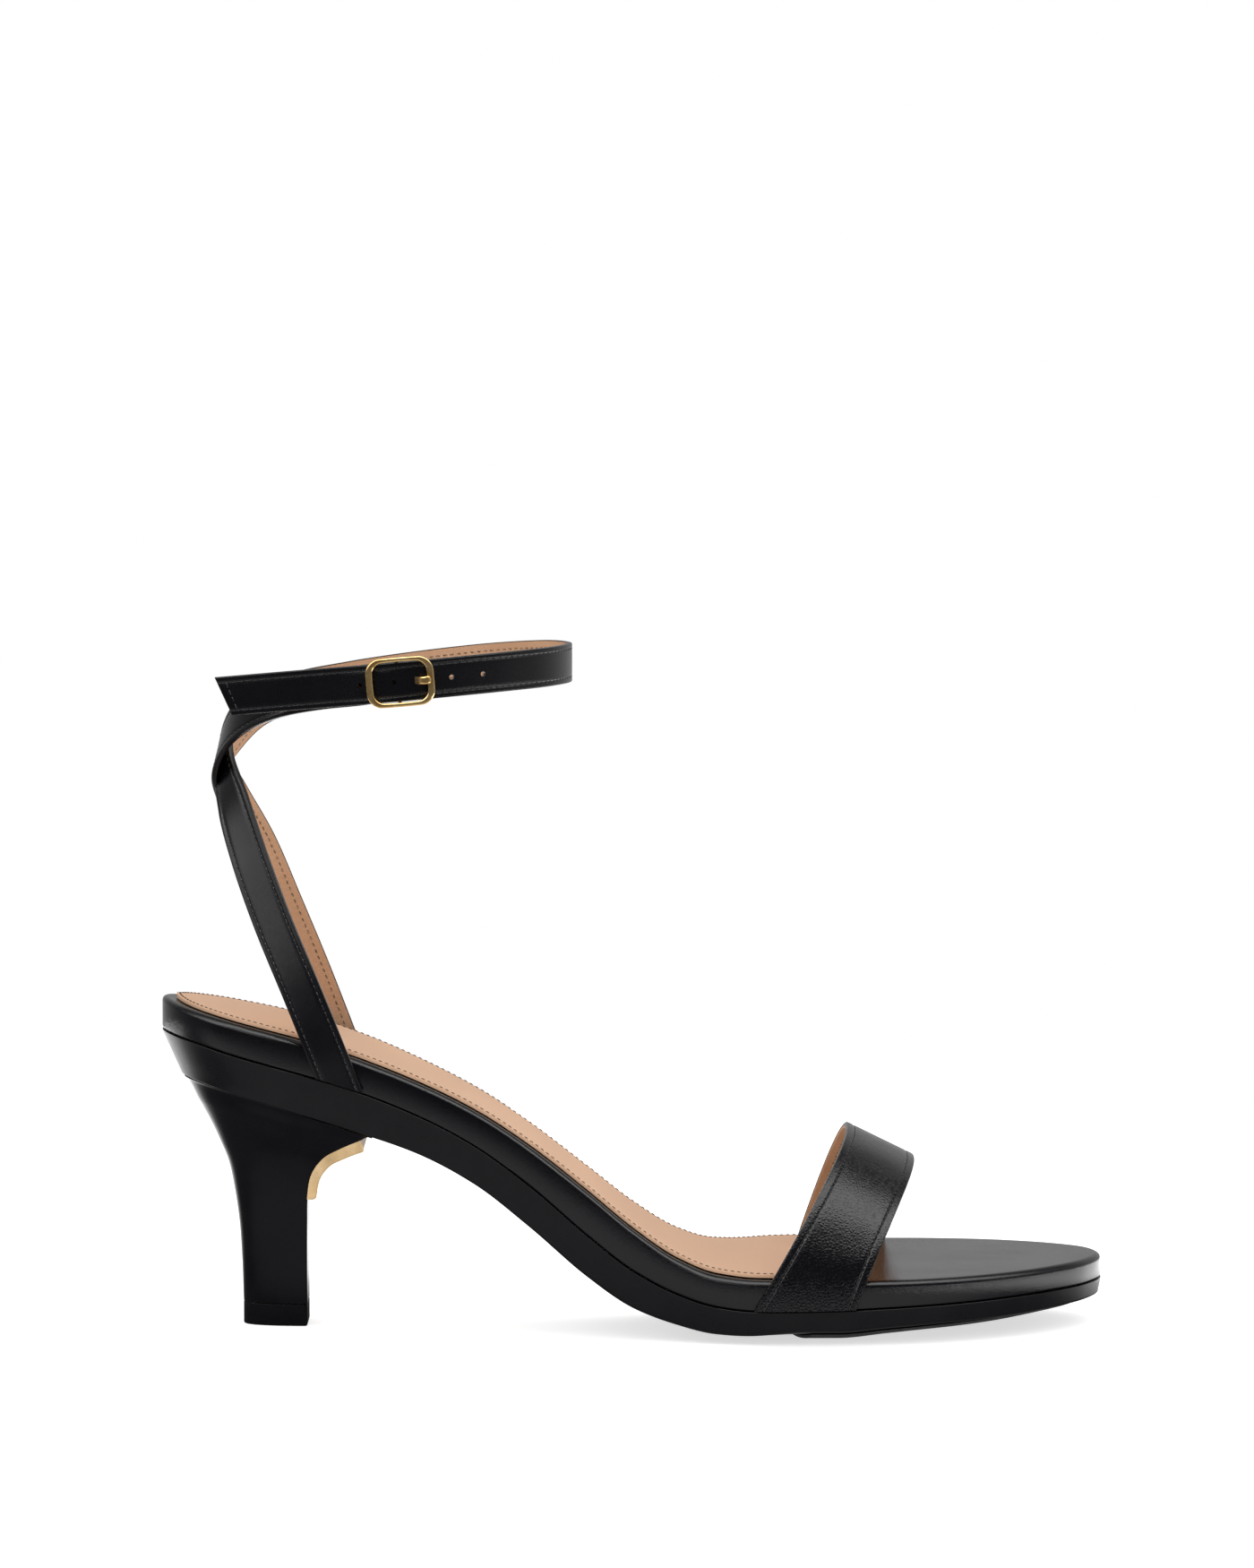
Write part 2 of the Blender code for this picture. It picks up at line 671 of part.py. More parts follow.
def strap_solid(name, rows, count, slants, collection):
    """Flat strap along a path; the first and last edges may be cut at a slant."""
    path = even_points(curve_through(rows), count)
    directions = unit_rows(np.gradient(path[:, :3], axis=0))
    section = strap_section()
    rings = []
    for k, (place, direction) in enumerate(zip(path, directions)):
        facing = math.radians(place[3])
        lean = math.radians(place[4])
        level = math.cos(lean)
        forward = Vector(direction)
        outward = Vector((level * math.cos(facing), level * math.sin(facing), math.sin(lean)))
        outward = (outward - outward.dot(forward) * forward).normalized()
        across = outward.cross(forward)
        start_share = max(0.0, 1 - k / SLANT_SECTIONS)
        end_share = max(0.0, 1 - (count - 1 - k) / SLANT_SECTIONS)
        slant = (slants[0] * start_share + slants[1] * end_share) / (ANKLE_STRAP_WIDTH / 2)
        middle = Vector(place[:3])
        rings.append([
            middle + (across + forward * slant) * sideways + outward * depth
            for sideways, depth in section
        ])
    return lofted_rings(name, rings, collection)


def combine(piece, other, operation):
    step = piece.modifiers.new(operation.lower(), "BOOLEAN")
    step.operation = operation
    step.object = other
    step.solver = "EXACT"


def bar_loop_rows():
    """Rows of the strap's turn round the buckle bar, worked out as an arc."""
    middle_x, middle_y, z = BAR_LOOP_MIDDLE
    rows = []
    for k in range(BAR_LOOP_STEPS + 1):
        facing = BAR_LOOP_START + BAR_LOOP_TURN * k / BAR_LOOP_STEPS
        x = middle_x + BAR_LOOP_RADIUS * math.cos(math.radians(facing))
        y = middle_y + BAR_LOOP_RADIUS * math.sin(math.radians(facing))
        rows.append((x, y, z, facing, 0.0))
    return rows


def buckle_matrix():
    """Place of the buckle's own axes on the shoe."""
    turn = Matrix.Rotation(-BUCKLE_TILT, 4, "Y") @ Matrix.Rotation(math.radians(90), 4, "X")
    return Matrix.Translation(Vector(BUCKLE_MIDDLE) * MM) @ turn


def make_ankle_straps(collection, cutters):
    """Two straps joined where they cross behind the ankle, with a hole for the buckle prong."""
    outer = strap_solid(
        "ankle_straps", OUTER_STRAP, OUTER_STRAP_SECTIONS, (STRAP_FOOT_SLANT, TAIL_SLANT), collection)
    inner_rows = INNER_STRAP + bar_loop_rows() + TURNED_END
    inner = strap_solid("inner_strap", inner_rows, INNER_STRAP_SECTIONS, (-STRAP_FOOT_SLANT, 0.0), cutters)
    combine(outer, inner, "UNION")
    bpy.ops.mesh.primitive_cylinder_add(
        vertices=PRONG_HOLE_SIDES, radius=PRONG_HOLE_RADIUS * MM, depth=PRONG_HOLE_DEPTH * MM)
    drill = bpy.context.active_object
    drill.name = "prong_hole"
    drill.matrix_world = buckle_matrix() @ Matrix.Translation(Vector(PRONG_HOLE_PLACE) * MM)
    for holder in list(drill.users_collection):
        holder.objects.unlink(drill)
    cutters.objects.link(drill)
    combine(outer, drill, "DIFFERENCE")
    return outer


def curve_object(name, splines, cyclic, collection):
    """A curve object of straight runs in the buckle's axes; points are in millimetres."""
    curve = bpy.data.curves.new(name, "CURVE")
    for points in splines:
        spline = curve.splines.new("POLY")
        spline.points.add(len(points) - 1)
        for slot, place in zip(spline.points, points):
            slot.co = (*(MM * c for c in place), 1.0)
        spline.use_cyclic_u = cyclic
    piece = bpy.data.objects.new(name, curve)
    piece.matrix_world = buckle_matrix()
    collection.objects.link(piece)
    return piece


def curve_as_mesh(piece, collection):
    """Replace a curve object by a mesh object of the same name, its caps welded."""
    bpy.context.view_layer.update()
    depsgraph = bpy.context.evaluated_depsgraph_get()
    mesh = bpy.data.meshes.new_from_object(piece.evaluated_get(depsgraph))
    work = bmesh.new()
    work.from_mesh(mesh)
    bmesh.ops.remove_doubles(work, verts=work.verts, dist=WELD_DISTANCE * MM)
    bmesh.ops.recalc_face_normals(work, faces=work.faces)
    work.to_mesh(mesh)
    work.free()
    name = piece.name
    place = piece.matrix_world.copy()
    bpy.data.objects.remove(piece, do_unlink=True)
    solid = bpy.data.objects.new(name, mesh)
    solid.matrix_world = place
    collection.objects.link(solid)
    return solid


def bent_wire(name, path, radius, collection):
    """Round wire along a path in the buckle's axes, with closed ends."""
    wire = curve_object(name, (path,), False, collection)
    wire.data.dimensions = "3D"
    wire.data.bevel_depth = radius * MM
    wire.data.bevel_resolution = WIRE_FINENESS
    wire.data.use_fill_caps = True
    return curve_as_mesh(wire, collection)


def rounded_rectangle(length, height, radius):
    points = []
    for corner in range(4):
        along = (length / 2 - radius) * (1 if corner in (0, 3) else -1)
        across = (height / 2 - radius) * (1 if corner in (0, 1) else -1)
        for k in range(BUCKLE_CORNER_STEPS + 1):
            turn = math.radians(90) * (corner + k / BUCKLE_CORNER_STEPS)
            points.append((along + radius * math.cos(turn), across + radius * math.sin(turn), 0.0))
    return points


def make_buckle_frame(collection, cutters):
    """Flat rounded frame, joined to a bar that dips behind the strap."""
    outer = rounded_rectangle(BUCKLE_LENGTH, BUCKLE_HEIGHT, BUCKLE_CORNER)
    inner = rounded_rectangle(
        BUCKLE_LENGTH - 2 * BUCKLE_SIDE_BAR, BUCKLE_HEIGHT - 2 * BUCKLE_BAR, BUCKLE_INNER_CORNER)
    flat = curve_object("buckle_frame", (outer, inner), True, collection)
    flat.data.dimensions = "2D"
    flat.data.fill_mode = "BOTH"
    flat.data.extrude = BUCKLE_BAR / 2 * MM
    frame = curve_as_mesh(flat, collection)

    side = (BUCKLE_HEIGHT - BUCKLE_BAR) / 2
    half = [
        (side, 0.0),
        (side, CENTRE_BAR_BEND - CENTRE_BAR_DEPTH),
        (side - CENTRE_BAR_BEND, -CENTRE_BAR_DEPTH),
    ]
    dip = half + [(-y, z) for y, z in reversed(half)]
    path = [(CENTRE_BAR_SHIFT, y, z) for y, z in dip]
    combine(frame, bent_wire("centre_bar", path, CENTRE_BAR_RADIUS, cutters), "UNION")
    return frame


def make_buckle_prong(collection):
    """Pin that comes up through the strap and rests on the front bar."""
    return bent_wire("buckle_prong", PRONG_PATH, PRONG_RADIUS, collection)


def plain_material(name, colour, roughness, metallic):
    material = bpy.data.materials.new(name)
    material.use_nodes = True
    shader = material.node_tree.nodes["Principled BSDF"]
    shader.inputs["Base Color"].default_value = (*colour, 1.0)
    shader.inputs["Roughness"].default_value = roughness
    shader.inputs["Metallic"].default_value = metallic
    material.diffuse_color = (*colour, 1.0)
    return material


def main():
    for leftover in list(bpy.data.objects):
        bpy.data.objects.remove(leftover, do_unlink=True)
    shoe = bpy.data.collections.new(SHOE_NAME)
    cutters = bpy.data.collections.new("cutters")
    bpy.context.scene.collection.children.link(shoe)
    bpy.context.scene.collection.children.link(cutters)
    pieces = [
        make_footbed(shoe),
        make_sole(shoe),
        make_insole(shoe),
        make_forefoot_tread(shoe),
        make_heel(shoe),
        make_heel_tip(shoe),
        make_breast_plate(shoe),
        make_toe_strap(shoe),
        make_ankle_straps(shoe, cutters),
        make_buckle_frame(shoe, cutters),
        make_buckle_prong(shoe),
    ]
    finishes = {name: (row[:3], row[3], row[4]) for name, *row in FINISHES}
    holder = bpy.data.objects.new(SHOE_NAME, None)
    shoe.objects.link(holder)
    for piece in pieces:
        piece.parent = holder
        piece.data.materials.clear()
        piece.data.materials.append(plain_material(piece.name, *finishes[piece.name]))
    for cutter in cutters.objects:
        cutter.hide_render = True
        cutter.display_type = "WIRE"


main()
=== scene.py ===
import math

import bmesh
import bpy
import numpy as np
from mathutils import Matrix, Vector


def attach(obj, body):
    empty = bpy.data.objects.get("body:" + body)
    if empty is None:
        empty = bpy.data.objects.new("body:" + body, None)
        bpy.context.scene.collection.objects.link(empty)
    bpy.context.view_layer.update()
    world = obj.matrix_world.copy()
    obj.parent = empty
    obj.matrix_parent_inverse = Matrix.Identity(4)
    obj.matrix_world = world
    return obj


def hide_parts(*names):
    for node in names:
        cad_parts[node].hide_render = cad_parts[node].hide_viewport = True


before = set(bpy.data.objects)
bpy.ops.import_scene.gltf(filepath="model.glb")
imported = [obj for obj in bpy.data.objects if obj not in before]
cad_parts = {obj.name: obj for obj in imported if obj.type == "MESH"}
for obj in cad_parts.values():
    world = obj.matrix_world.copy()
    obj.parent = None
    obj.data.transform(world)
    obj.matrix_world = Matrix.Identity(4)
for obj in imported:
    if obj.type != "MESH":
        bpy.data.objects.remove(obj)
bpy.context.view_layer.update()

# Footbed
# The upper layer of the sole unit: a shaped board that the foot stands on. Black leather is drawn
# over its rounded top edge, with small puckers round the heel, and turned in at the seam to the sole.
MM = 0.001
PIECE_GAP = 0.3
SHARP_ANGLE = math.radians(38)
CURVE_FINENESS = 16
SIDE_POINTS = 230
CAP_COLUMNS = 20

# columns: x, y
LATERAL_EDGE = [
    (-115.0, 1.5), (-111.5, -10.0), (-103.0, -19.0), (-88.0, -25.0), (-70.0, -25.4),
    (-45.0, -24.2), (-20.0, -26.4), (5.0, -32.4), (30.0, -39.2), (48.0, -40.0),
    (68.0, -37.3), (86.0, -30.0), (101.4, -18.5), (111.8, -6.0), (115.9, 7.0),
]
MEDIAL_EDGE = [
    (-115.0, 1.5), (-111.5, 13.0), (-103.0, 22.0), (-88.0, 27.4), (-66.0, 25.4),
    (-40.0, 18.8), (-15.0, 14.6), (10.0, 19.8), (35.0, 37.6), (57.0, 40.0),
    (75.0, 38.9), (92.0, 34.2), (106.0, 25.4), (113.8, 16.0), (115.9, 7.0),
]

# columns: x, footbed top, seam between footbed and sole, underside of the sole
LAYER_HEIGHTS = [
    (-115.0, 81.4, 73.1, 63.0), (-108.0, 79.3, 71.6, 61.6), (-97.5, 76.7, 68.8, 59.0),
    (-81.0, 72.7, 64.6, 54.4), (-67.0, 68.2, 60.3, 50.0), (-52.0, 62.1, 54.2, 44.6),
    (-38.0, 55.2, 46.8, 37.1), (-24.6, 46.6, 37.2, 26.8), (-10.7, 36.0, 25.5, 15.1),
    (0.5, 27.1, 17.2, 7.8), (11.3, 20.2, 11.9, 3.9), (20.6, 16.9, 9.3, 1.7),
    (30.0, 16.0, 8.5, 1.0), (50.0, 15.9, 8.8, 1.0), (62.0, 15.9, 9.2, 2.2),
    (75.0, 16.0, 9.6, 3.6), (96.0, 16.3, 10.3, 5.7), (115.9, 16.8, 11.0, 6.9),
]
SEAM_NOTCH = 0.5
SEAM_NOTCH_TURN = (0.15, 0.2)
FOOTBED_NOTCH_HEIGHT = 0.6
FOOTBED_EDGE_RADIUS = 1.6
FOOTBED_EDGE_STEPS = 10

# Puckers of the wrapped leather on the rounded edge, outer side
# columns: x, half length, depth
FOOTBED_PUCKERS = [
    (-107.0, 3.0, 0.16), (-100.5, 3.6, 0.22), (-92.0, 3.0, 0.14), (-84.5, 4.2, 0.20),
    (-63.0, 4.0, 0.10), (-20.0, 7.0, 0.10), (18.0, 6.0, 0.12),
]
BLACK_DARK = (0.0022, 0.0022, 0.0034)
BLACK_LIGHT = (0.0042, 0.0042, 0.0058)
BLACK_IOR = 1.42
PEBBLE_SLOPE = 0.32
PORE_SHARE = 0.9
TONE_CHANGES_PER_METRE = 55.0
TONE_RANGE = (0.32, 0.68)


def blended(t, start, end, start_slope, end_slope, span):
    """Cubic between two values with given slopes, at share t of a span."""
    rest = 1 - t
    ends = start * (1 + 2 * t) * rest**2 + end * (3 - 2 * t) * t**2
    return ends + span * (start_slope * t * rest**2 - end_slope * rest * t**2)


def table_curve(rows, column):
    """Smooth height table without overshoot: a function of x."""
    table = np.array(rows, float)
    xs = table[:, 0]
    ys = table[:, column]
    spans = np.diff(xs)
    rises = np.diff(ys) / spans
    slopes = np.zeros(len(xs))
    slopes[0] = rises[0]
    slopes[-1] = rises[-1]
    for i in range(1, len(xs) - 1):
        before, after = rises[i - 1], rises[i]
        if before * after > 0:
            slopes[i] = 2 * before * after / (before + after)

    def height(x):
        x = np.clip(x, xs[0], xs[-1])
        k = np.clip(np.searchsorted(xs, x, side="right") - 1, 0, len(spans) - 1)
        return blended((x - xs[k]) / spans[k], ys[k], ys[k + 1], slopes[k], slopes[k + 1], spans[k])

    return height


def curve_through(rows):
    """Fine polyline of a smooth curve through the rows; columns past the third ride along."""
    rows = np.array(rows, float)
    spans = np.linalg.norm(np.diff(rows[:, :3], axis=0), axis=1)
    rates = np.diff(rows, axis=0) / spans[:, None]
    slopes = np.empty_like(rows)
    slopes[0] = rates[0]
    slopes[-1] = rates[-1]
    weight = spans[1:, None] / (spans[1:, None] + spans[:-1, None])
    slopes[1:-1] = weight * rates[:-1] + (1 - weight) * rates[1:]
    fine = [
        blended(step / CURVE_FINENESS, rows[i], rows[i + 1], slopes[i], slopes[i + 1], span)
        for i, span in enumerate(spans)
        for step in range(CURVE_FINENESS)
    ]
    return np.array(fine + [rows[-1]])


def travel_along(points):
    """Distance along a polyline up to each of its points."""
    spans = np.linalg.norm(np.diff(points[:, :3], axis=0), axis=1)
    return np.concatenate([[0.0], np.cumsum(spans)])


def rows_between(places, rows, wanted):
    """Rows of a table that stand at the given places, read at other places between them."""
    return np.column_stack([np.interp(wanted, places, column) for column in rows.T])


def points_at(points, distances):
    """Rows of a polyline, read at distances along it."""
    return rows_between(travel_along(points), points, distances)


def even_points(points, count):
    """Points spaced evenly along a polyline, both ends kept."""
    points = np.array(points, float)
    return points_at(points, np.linspace(0.0, travel_along(points)[-1], count))


def unit_rows(vectors):
    return vectors / np.linalg.norm(vectors, axis=1)[:, None]


def quarter_round(radius, steps):
    """Inset and drop of places on a rounded edge, from its wall to its top."""
    turns = [math.radians(90) * k / steps for k in range(steps + 1)]
    return [(radius * (1 - math.cos(turn)), radius * (1 - math.sin(turn))) for turn in turns]


def edge_fall(offset, radius):
    """Fall of a rounded edge at a distance in from it, as a share of its radius."""
    turn = np.clip(1 - offset / radius, 0.0, 1.0)
    return 1 - np.sqrt(1 - turn**2)


def soft_rise(place, middle, half_width):
    """A soft rise to 1 at its middle that fades away on both sides."""
    return np.exp(-((place - middle) / half_width) ** 2)


def closed_loop(lateral, medial):
    """One loop from two sides that share both tips, each side evenly spaced."""
    first = even_points(lateral, SIDE_POINTS + 1)
    second = even_points(medial, SIDE_POINTS + 1)
    return np.vstack([first, second[-2:0:-1]])


def loop_sides(loop):
    """The two sides of such a loop, both from heel to toe."""
    return loop[:SIDE_POINTS + 1], np.vstack([loop[:1], loop[:SIDE_POINTS - 1:-1]])


def inset_loop(loop, distance):
    """The loop moved inward in the plan by a distance, which may differ from point to point."""
    along = unit_rows(np.roll(loop, -1, axis=0) - np.roll(loop, 1, axis=0))
    inward = np.column_stack([-along[:, 1], along[:, 0]])
    return loop + inward * np.broadcast_to(distance, len(loop))[:, None]


def rings_at(loop, edge):
    """Rings from an edge table of pairs: inset in the plan, height as a function of x and y."""
    rings = []
    for inset, height in edge:
        flat = inset_loop(loop, inset)
        rings.append(np.column_stack([flat, height(flat[:, 0], flat[:, 1])]))
    return rings


def wall_faces(ring_count, count):
    """Four-sided faces between rings of the same number of points."""
    here = np.arange(count)
    beside = np.roll(here, -1)
    quads = np.column_stack([here, beside, beside + count, here + count])
    return np.vstack([quads + low * count for low in range(ring_count - 1)]).tolist()


def slab_mesh(rings, under, top):
    """Points and faces of a layer closed by two caps; its rings run from the underside up."""
    count = len(rings[0])
    half = count // 2
    points = [tuple(p) for ring in rings for p in ring]
    faces = wall_faces(len(rings), count)
    for first, height in ((0, under), ((len(rings) - 1) * count, top)):
        rows = [[first] * (CAP_COLUMNS + 1)]
        for i in range(1, half):
            left = np.array(points[first + i])
            right = np.array(points[first + count - i])
            row = [first + i]
            for k in range(1, CAP_COLUMNS):
                x, y, _ = left + (right - left) * k / CAP_COLUMNS
                row.append(len(points))
                points.append((x, y, float(height(x, y))))
            row.append(first + count - i)
            rows.append(row)
        rows.append([first + half] * (CAP_COLUMNS + 1))
        for before, after in zip(rows, rows[1:]):
            for k in range(CAP_COLUMNS):
                corners = (before[k], before[k + 1], after[k + 1], after[k])
                faces.append(tuple(dict.fromkeys(corners)))
    return points, faces


def place_object(name, data):
    """A new object in the scene that holds a mesh or a camera."""
    item = bpy.data.objects.new(name, data)
    bpy.context.scene.collection.objects.link(item)
    return item


def mesh_piece(name, points, faces, material, slot):
    """A smooth-shaded piece of the shoe, from points in millimetres."""
    mesh = bpy.data.meshes.new(name)
    mesh.from_pydata((np.array(points, float) * MM).tolist(), [], faces)
    work = bmesh.new()
    work.from_mesh(mesh)
    bmesh.ops.recalc_face_normals(work, faces=work.faces)
    work.to_mesh(mesh)
    work.free()
    mesh.shade_smooth()
    mesh.set_sharp_from_angle(angle=SHARP_ANGLE)
    mesh.materials.append(material)
    piece = place_object(name, mesh)
    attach(piece, "root")
    return piece


def connect(tree, node, sockets):
    """Give each named socket of a node a value or another node's output."""
    for label, value in sockets.items():
        if isinstance(value, bpy.types.NodeSocket):
            tree.links.new(value, node.inputs[label])
        else:
            node.inputs[label].default_value = value


def add_node(tree, kind, sockets, **settings):
    node = tree.nodes.new("ShaderNode" + kind)
    for label, value in settings.items():
        setattr(node, label, value)
    connect(tree, node, sockets)
    return node


def mixed_colour(tree, factor, first, second):
    """A colour between two others."""
    mix = add_node(tree, "Mix", {0: factor, 6: first, 7: second}, data_type="RGBA")
    return mix.outputs[2]


def ranged(tree, value, low, high, to_low, to_high):
    """A value carried from one range to another, held at the ends."""
    sockets = {"Value": value, "From Min": low, "From Max": high, "To Min": to_low, "To Max": to_high}
    return add_node(tree, "MapRange", sockets).outputs["Result"]


def worked_out(tree, operation, first, second=0.0):
    return add_node(tree, "Math", {0: first, 1: second}, operation=operation).outputs[0]


def shader_group(name, inputs, outputs):
    """A shader node group with named sockets: its tree and its two end nodes."""
    tree = bpy.data.node_groups.new(name, "ShaderNodeTree")
    for label, kind in inputs:
        tree.interface.new_socket(label, in_out="INPUT", socket_type="NodeSocket" + kind)
    for label, kind in outputs:
        tree.interface.new_socket(label, in_out="OUTPUT", socket_type="NodeSocket" + kind)
    return tree, tree.nodes.new("NodeGroupInput"), tree.nodes.new("NodeGroupOutput")


def make_leather_grain():
    """Pebbled grain with fine pores and slow changes of tone and gloss over the hide."""
    inputs = [
        ("Grain Scale", "Float"), ("Dark", "Color"), ("Light", "Color"),
        ("Gloss Roughness", "Float"), ("Dull Roughness", "Float"),
    ]
    outputs = [("Colour", "Color"), ("Roughness", "Float"), ("Height", "Float")]
    tree, given, result = shader_group("leather grain", inputs, outputs)
    places = add_node(tree, "TexCoord", {}).outputs["Object"]
    scale = given.outputs["Grain Scale"]
    pebbles = add_node(
        tree, "TexVoronoi", {"Vector": places, "Scale": scale}, feature="DISTANCE_TO_EDGE")
    pebble = ranged(tree, pebbles.outputs["Distance"], 0.0, PEBBLE_SLOPE, 0.0, 1.0)
    pores = add_node(tree, "TexNoise", {"Vector": places, "Scale": scale, "Detail": 3.0})
    hide = add_node(tree, "TexNoise", {"Vector": places, "Scale": TONE_CHANGES_PER_METRE, "Detail": 4.0})
    slow = ranged(tree, hide.outputs[0], *TONE_RANGE, 0.0, 1.0)
    pore_height = worked_out(tree, "MULTIPLY", pores.outputs[0], PORE_SHARE)
    tone = worked_out(tree, "MULTIPLY", slow, pebble)
    gloss = add_node(tree, "Mix", {
        0: slow, 2: given.outputs["Gloss Roughness"], 3: given.outputs["Dull Roughness"]})
    connect(tree, result, {
        "Colour": mixed_colour(tree, tone, given.outputs["Dark"], given.outputs["Light"]),
        "Roughness": gloss.outputs[0],
        "Height": worked_out(tree, "ADD", pebble, pore_height),
    })
    return tree


LEATHER_GRAIN = make_leather_grain()


def new_material(name):
    """A material with its node tree and its shader."""
    material = bpy.data.materials.new(name)
    material.use_nodes = True
    tree = material.node_tree
    return material, tree, tree.nodes["Principled BSDF"]


def leather(name, dark, light, gloss, dull, ior, grain_size, grain_depth):
    """Leather finish: tones, roughness range, IOR, and the grain's size and depth in millimetres."""
    material, tree, shader = new_material(name)
    grain = add_node(tree, "Group", {}, node_tree=LEATHER_GRAIN)
    connect(tree, grain, {
        "Grain Scale": 1 / (grain_size * MM), "Dark": (*dark, 1.0), "Light": (*light, 1.0),
        "Gloss Roughness": gloss, "Dull Roughness": dull,
    })
    bump = add_node(tree, "Bump", {"Height": grain.outputs["Height"], "Distance": grain_depth * MM})
    connect(tree, shader, {
        "Base Color": grain.outputs["Colour"], "Roughness": grain.outputs["Roughness"],
        "IOR": ior, "Normal": bump.outputs["Normal"],
    })
    return material


footbed_top = table_curve(LAYER_HEIGHTS, 1)
seam_height = table_curve(LAYER_HEIGHTS, 2)
sole_under = table_curve(LAYER_HEIGHTS, 3)


def footbed_sides():
    """Outer and inner edge of the footbed, heel tip to toe tip, from one smooth closed outline."""
    loop_rows = LATERAL_EDGE + MEDIAL_EDGE[-2:0:-1]
    lead = 3
    wrapped = loop_rows[-lead:] + loop_rows + loop_rows[:lead + 1]
    fine = curve_through(wrapped)
    start = lead * CURVE_FINENESS
    turn = start + (len(LATERAL_EDGE) - 1) * CURVE_FINENESS
    end = start + len(loop_rows) * CURVE_FINENESS
    return fine[start:turn + 1], fine[turn:end + 1][::-1]


FOOTBED_LOOP = closed_loop(*footbed_sides())


def pucker_depth(x, y):
    """Soft troughs across the rounded edge on the outer side."""
    depth = sum(deep * soft_rise(x, middle, half) for middle, half, deep in FOOTBED_PUCKERS)
    return np.where(y < 0, depth, 0.0)


def footbed_edge():
    """Edge table of the footbed, from the turned-in seam edge up over the rounding."""
    def above_seam(lift):
        return lambda x, y: seam_height(x) + PIECE_GAP / 2 + lift

    def on_rounding(drop, share):
        return lambda x, y: footbed_top(x) - drop - share * pucker_depth(x, y)

    notch = [(SEAM_NOTCH, 0.0), SEAM_NOTCH_TURN, (0.0, FOOTBED_NOTCH_HEIGHT)]
    edge = [(inset, above_seam(lift)) for inset, lift in notch]
    for k, (inset, drop) in enumerate(quarter_round(FOOTBED_EDGE_RADIUS, FOOTBED_EDGE_STEPS)):
        edge.append((inset, on_rounding(drop, math.sin(math.pi * k / FOOTBED_EDGE_STEPS))))
    return edge, above_seam(0.0), on_rounding(0.0, 0.0)


edge, under, top = footbed_edge()
footbed_leather = leather(
    "footbed black leather", BLACK_DARK, BLACK_LIGHT, gloss=0.11, dull=0.18, ior=BLACK_IOR,
    grain_size=0.55, grain_depth=0.014)
footbed = mesh_piece(
    "footbed_wrap", *slab_mesh(rings_at(FOOTBED_LOOP, edge), under, top), footbed_leather, "black_leather")
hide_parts("footbed")

# Toe strap
# A wide band of black leather over the toes, its edges folded round a tan lining and sewn down with
# a row of black thread 2 mm inside each edge. Its ends are tucked into the seam above the sole.
TOE_STRAP_THICKNESS = 1.6
TOE_STRAP_ROUNDNESS = 2.3
TOE_STRAP_CLEARANCE = 0.4
TOE_STRAP_ROWS = 150
TOE_LINING_THICKNESS = 0.5
TOE_LINING_INSET = 0.15
TOE_LINING_EASE = 0.18
TOE_LINING_EASE_WIDTH = 0.25
TOE_EDGE_ROLL = 0.35
TOE_EDGE_COLUMNS = [0.0, 0.03, 0.12, 0.25, 0.42, 0.6, 0.8, 1.0, 1.25]
TOE_EDGE_BEAD = 0.02
TOE_BEAD_HALF_WIDTH = 0.45
TOE_STITCH_INSET = 2.1
GROOVE_HALF_WIDTH = 0.2
TOE_GROOVE_DEPTH = 0.25
TOE_STITCH = {"pitch": 1.45, "length": 0.95, "width": 0.32, "height": 0.14}
STITCH_SIDES = 6
STITCH_RINGS = [(-0.92, 0.55), (-0.5, 0.95), (0.0, 1.0), (0.5, 0.95), (0.92, 0.55)]
STITCH_DIVE = 0.6
STITCH_REACH = 0.3
STRANDS_PER_METRE = 900.0
STRAND_DEPTH = 0.03
# Black and tan thread: each pair runs from painted shade in the grooves between strands to painted highlight
# on their crests
BLACK_THREAD_SHADE_TO_HIGHLIGHT = ((0.002, 0.002, 0.003), (0.016, 0.016, 0.018))
TAN_THREAD_SHADE_TO_HIGHLIGHT = ((0.06, 0.03, 0.015), (0.36, 0.23, 0.13))
TAN_DARK = (0.47, 0.27, 0.16)
TAN_LIGHT = (0.59, 0.37, 0.235)
TAN_IOR = 1.18
TOE_INNER_STEPS = 18

# Rear and front edge of the strap: each is an arch that leans forward from the seam
# columns: x at the outer seam, x at the inner seam, x at the crown, z at the crown, backward bow
TOE_STRAP_EDGES = [
    (29.6, 39.5, 52.4, 48.0, 0.0),
    (54.2, 63.0, 69.0, 39.8, 1.0),
]

# Soft creases that run fore and aft over the strap
# columns: degrees round the foot from the outer seam, half width in degrees, depth
TOE_STRAP_CREASES = [
    (24.0, 5.0, 0.10), (47.0, 6.0, -0.08), (63.0, 5.0, 0.10),
    (112.0, 6.0, 0.10), (133.0, 5.0, -0.08), (152.0, 5.0, 0.12),
]
CREASE_FADE = 4.0


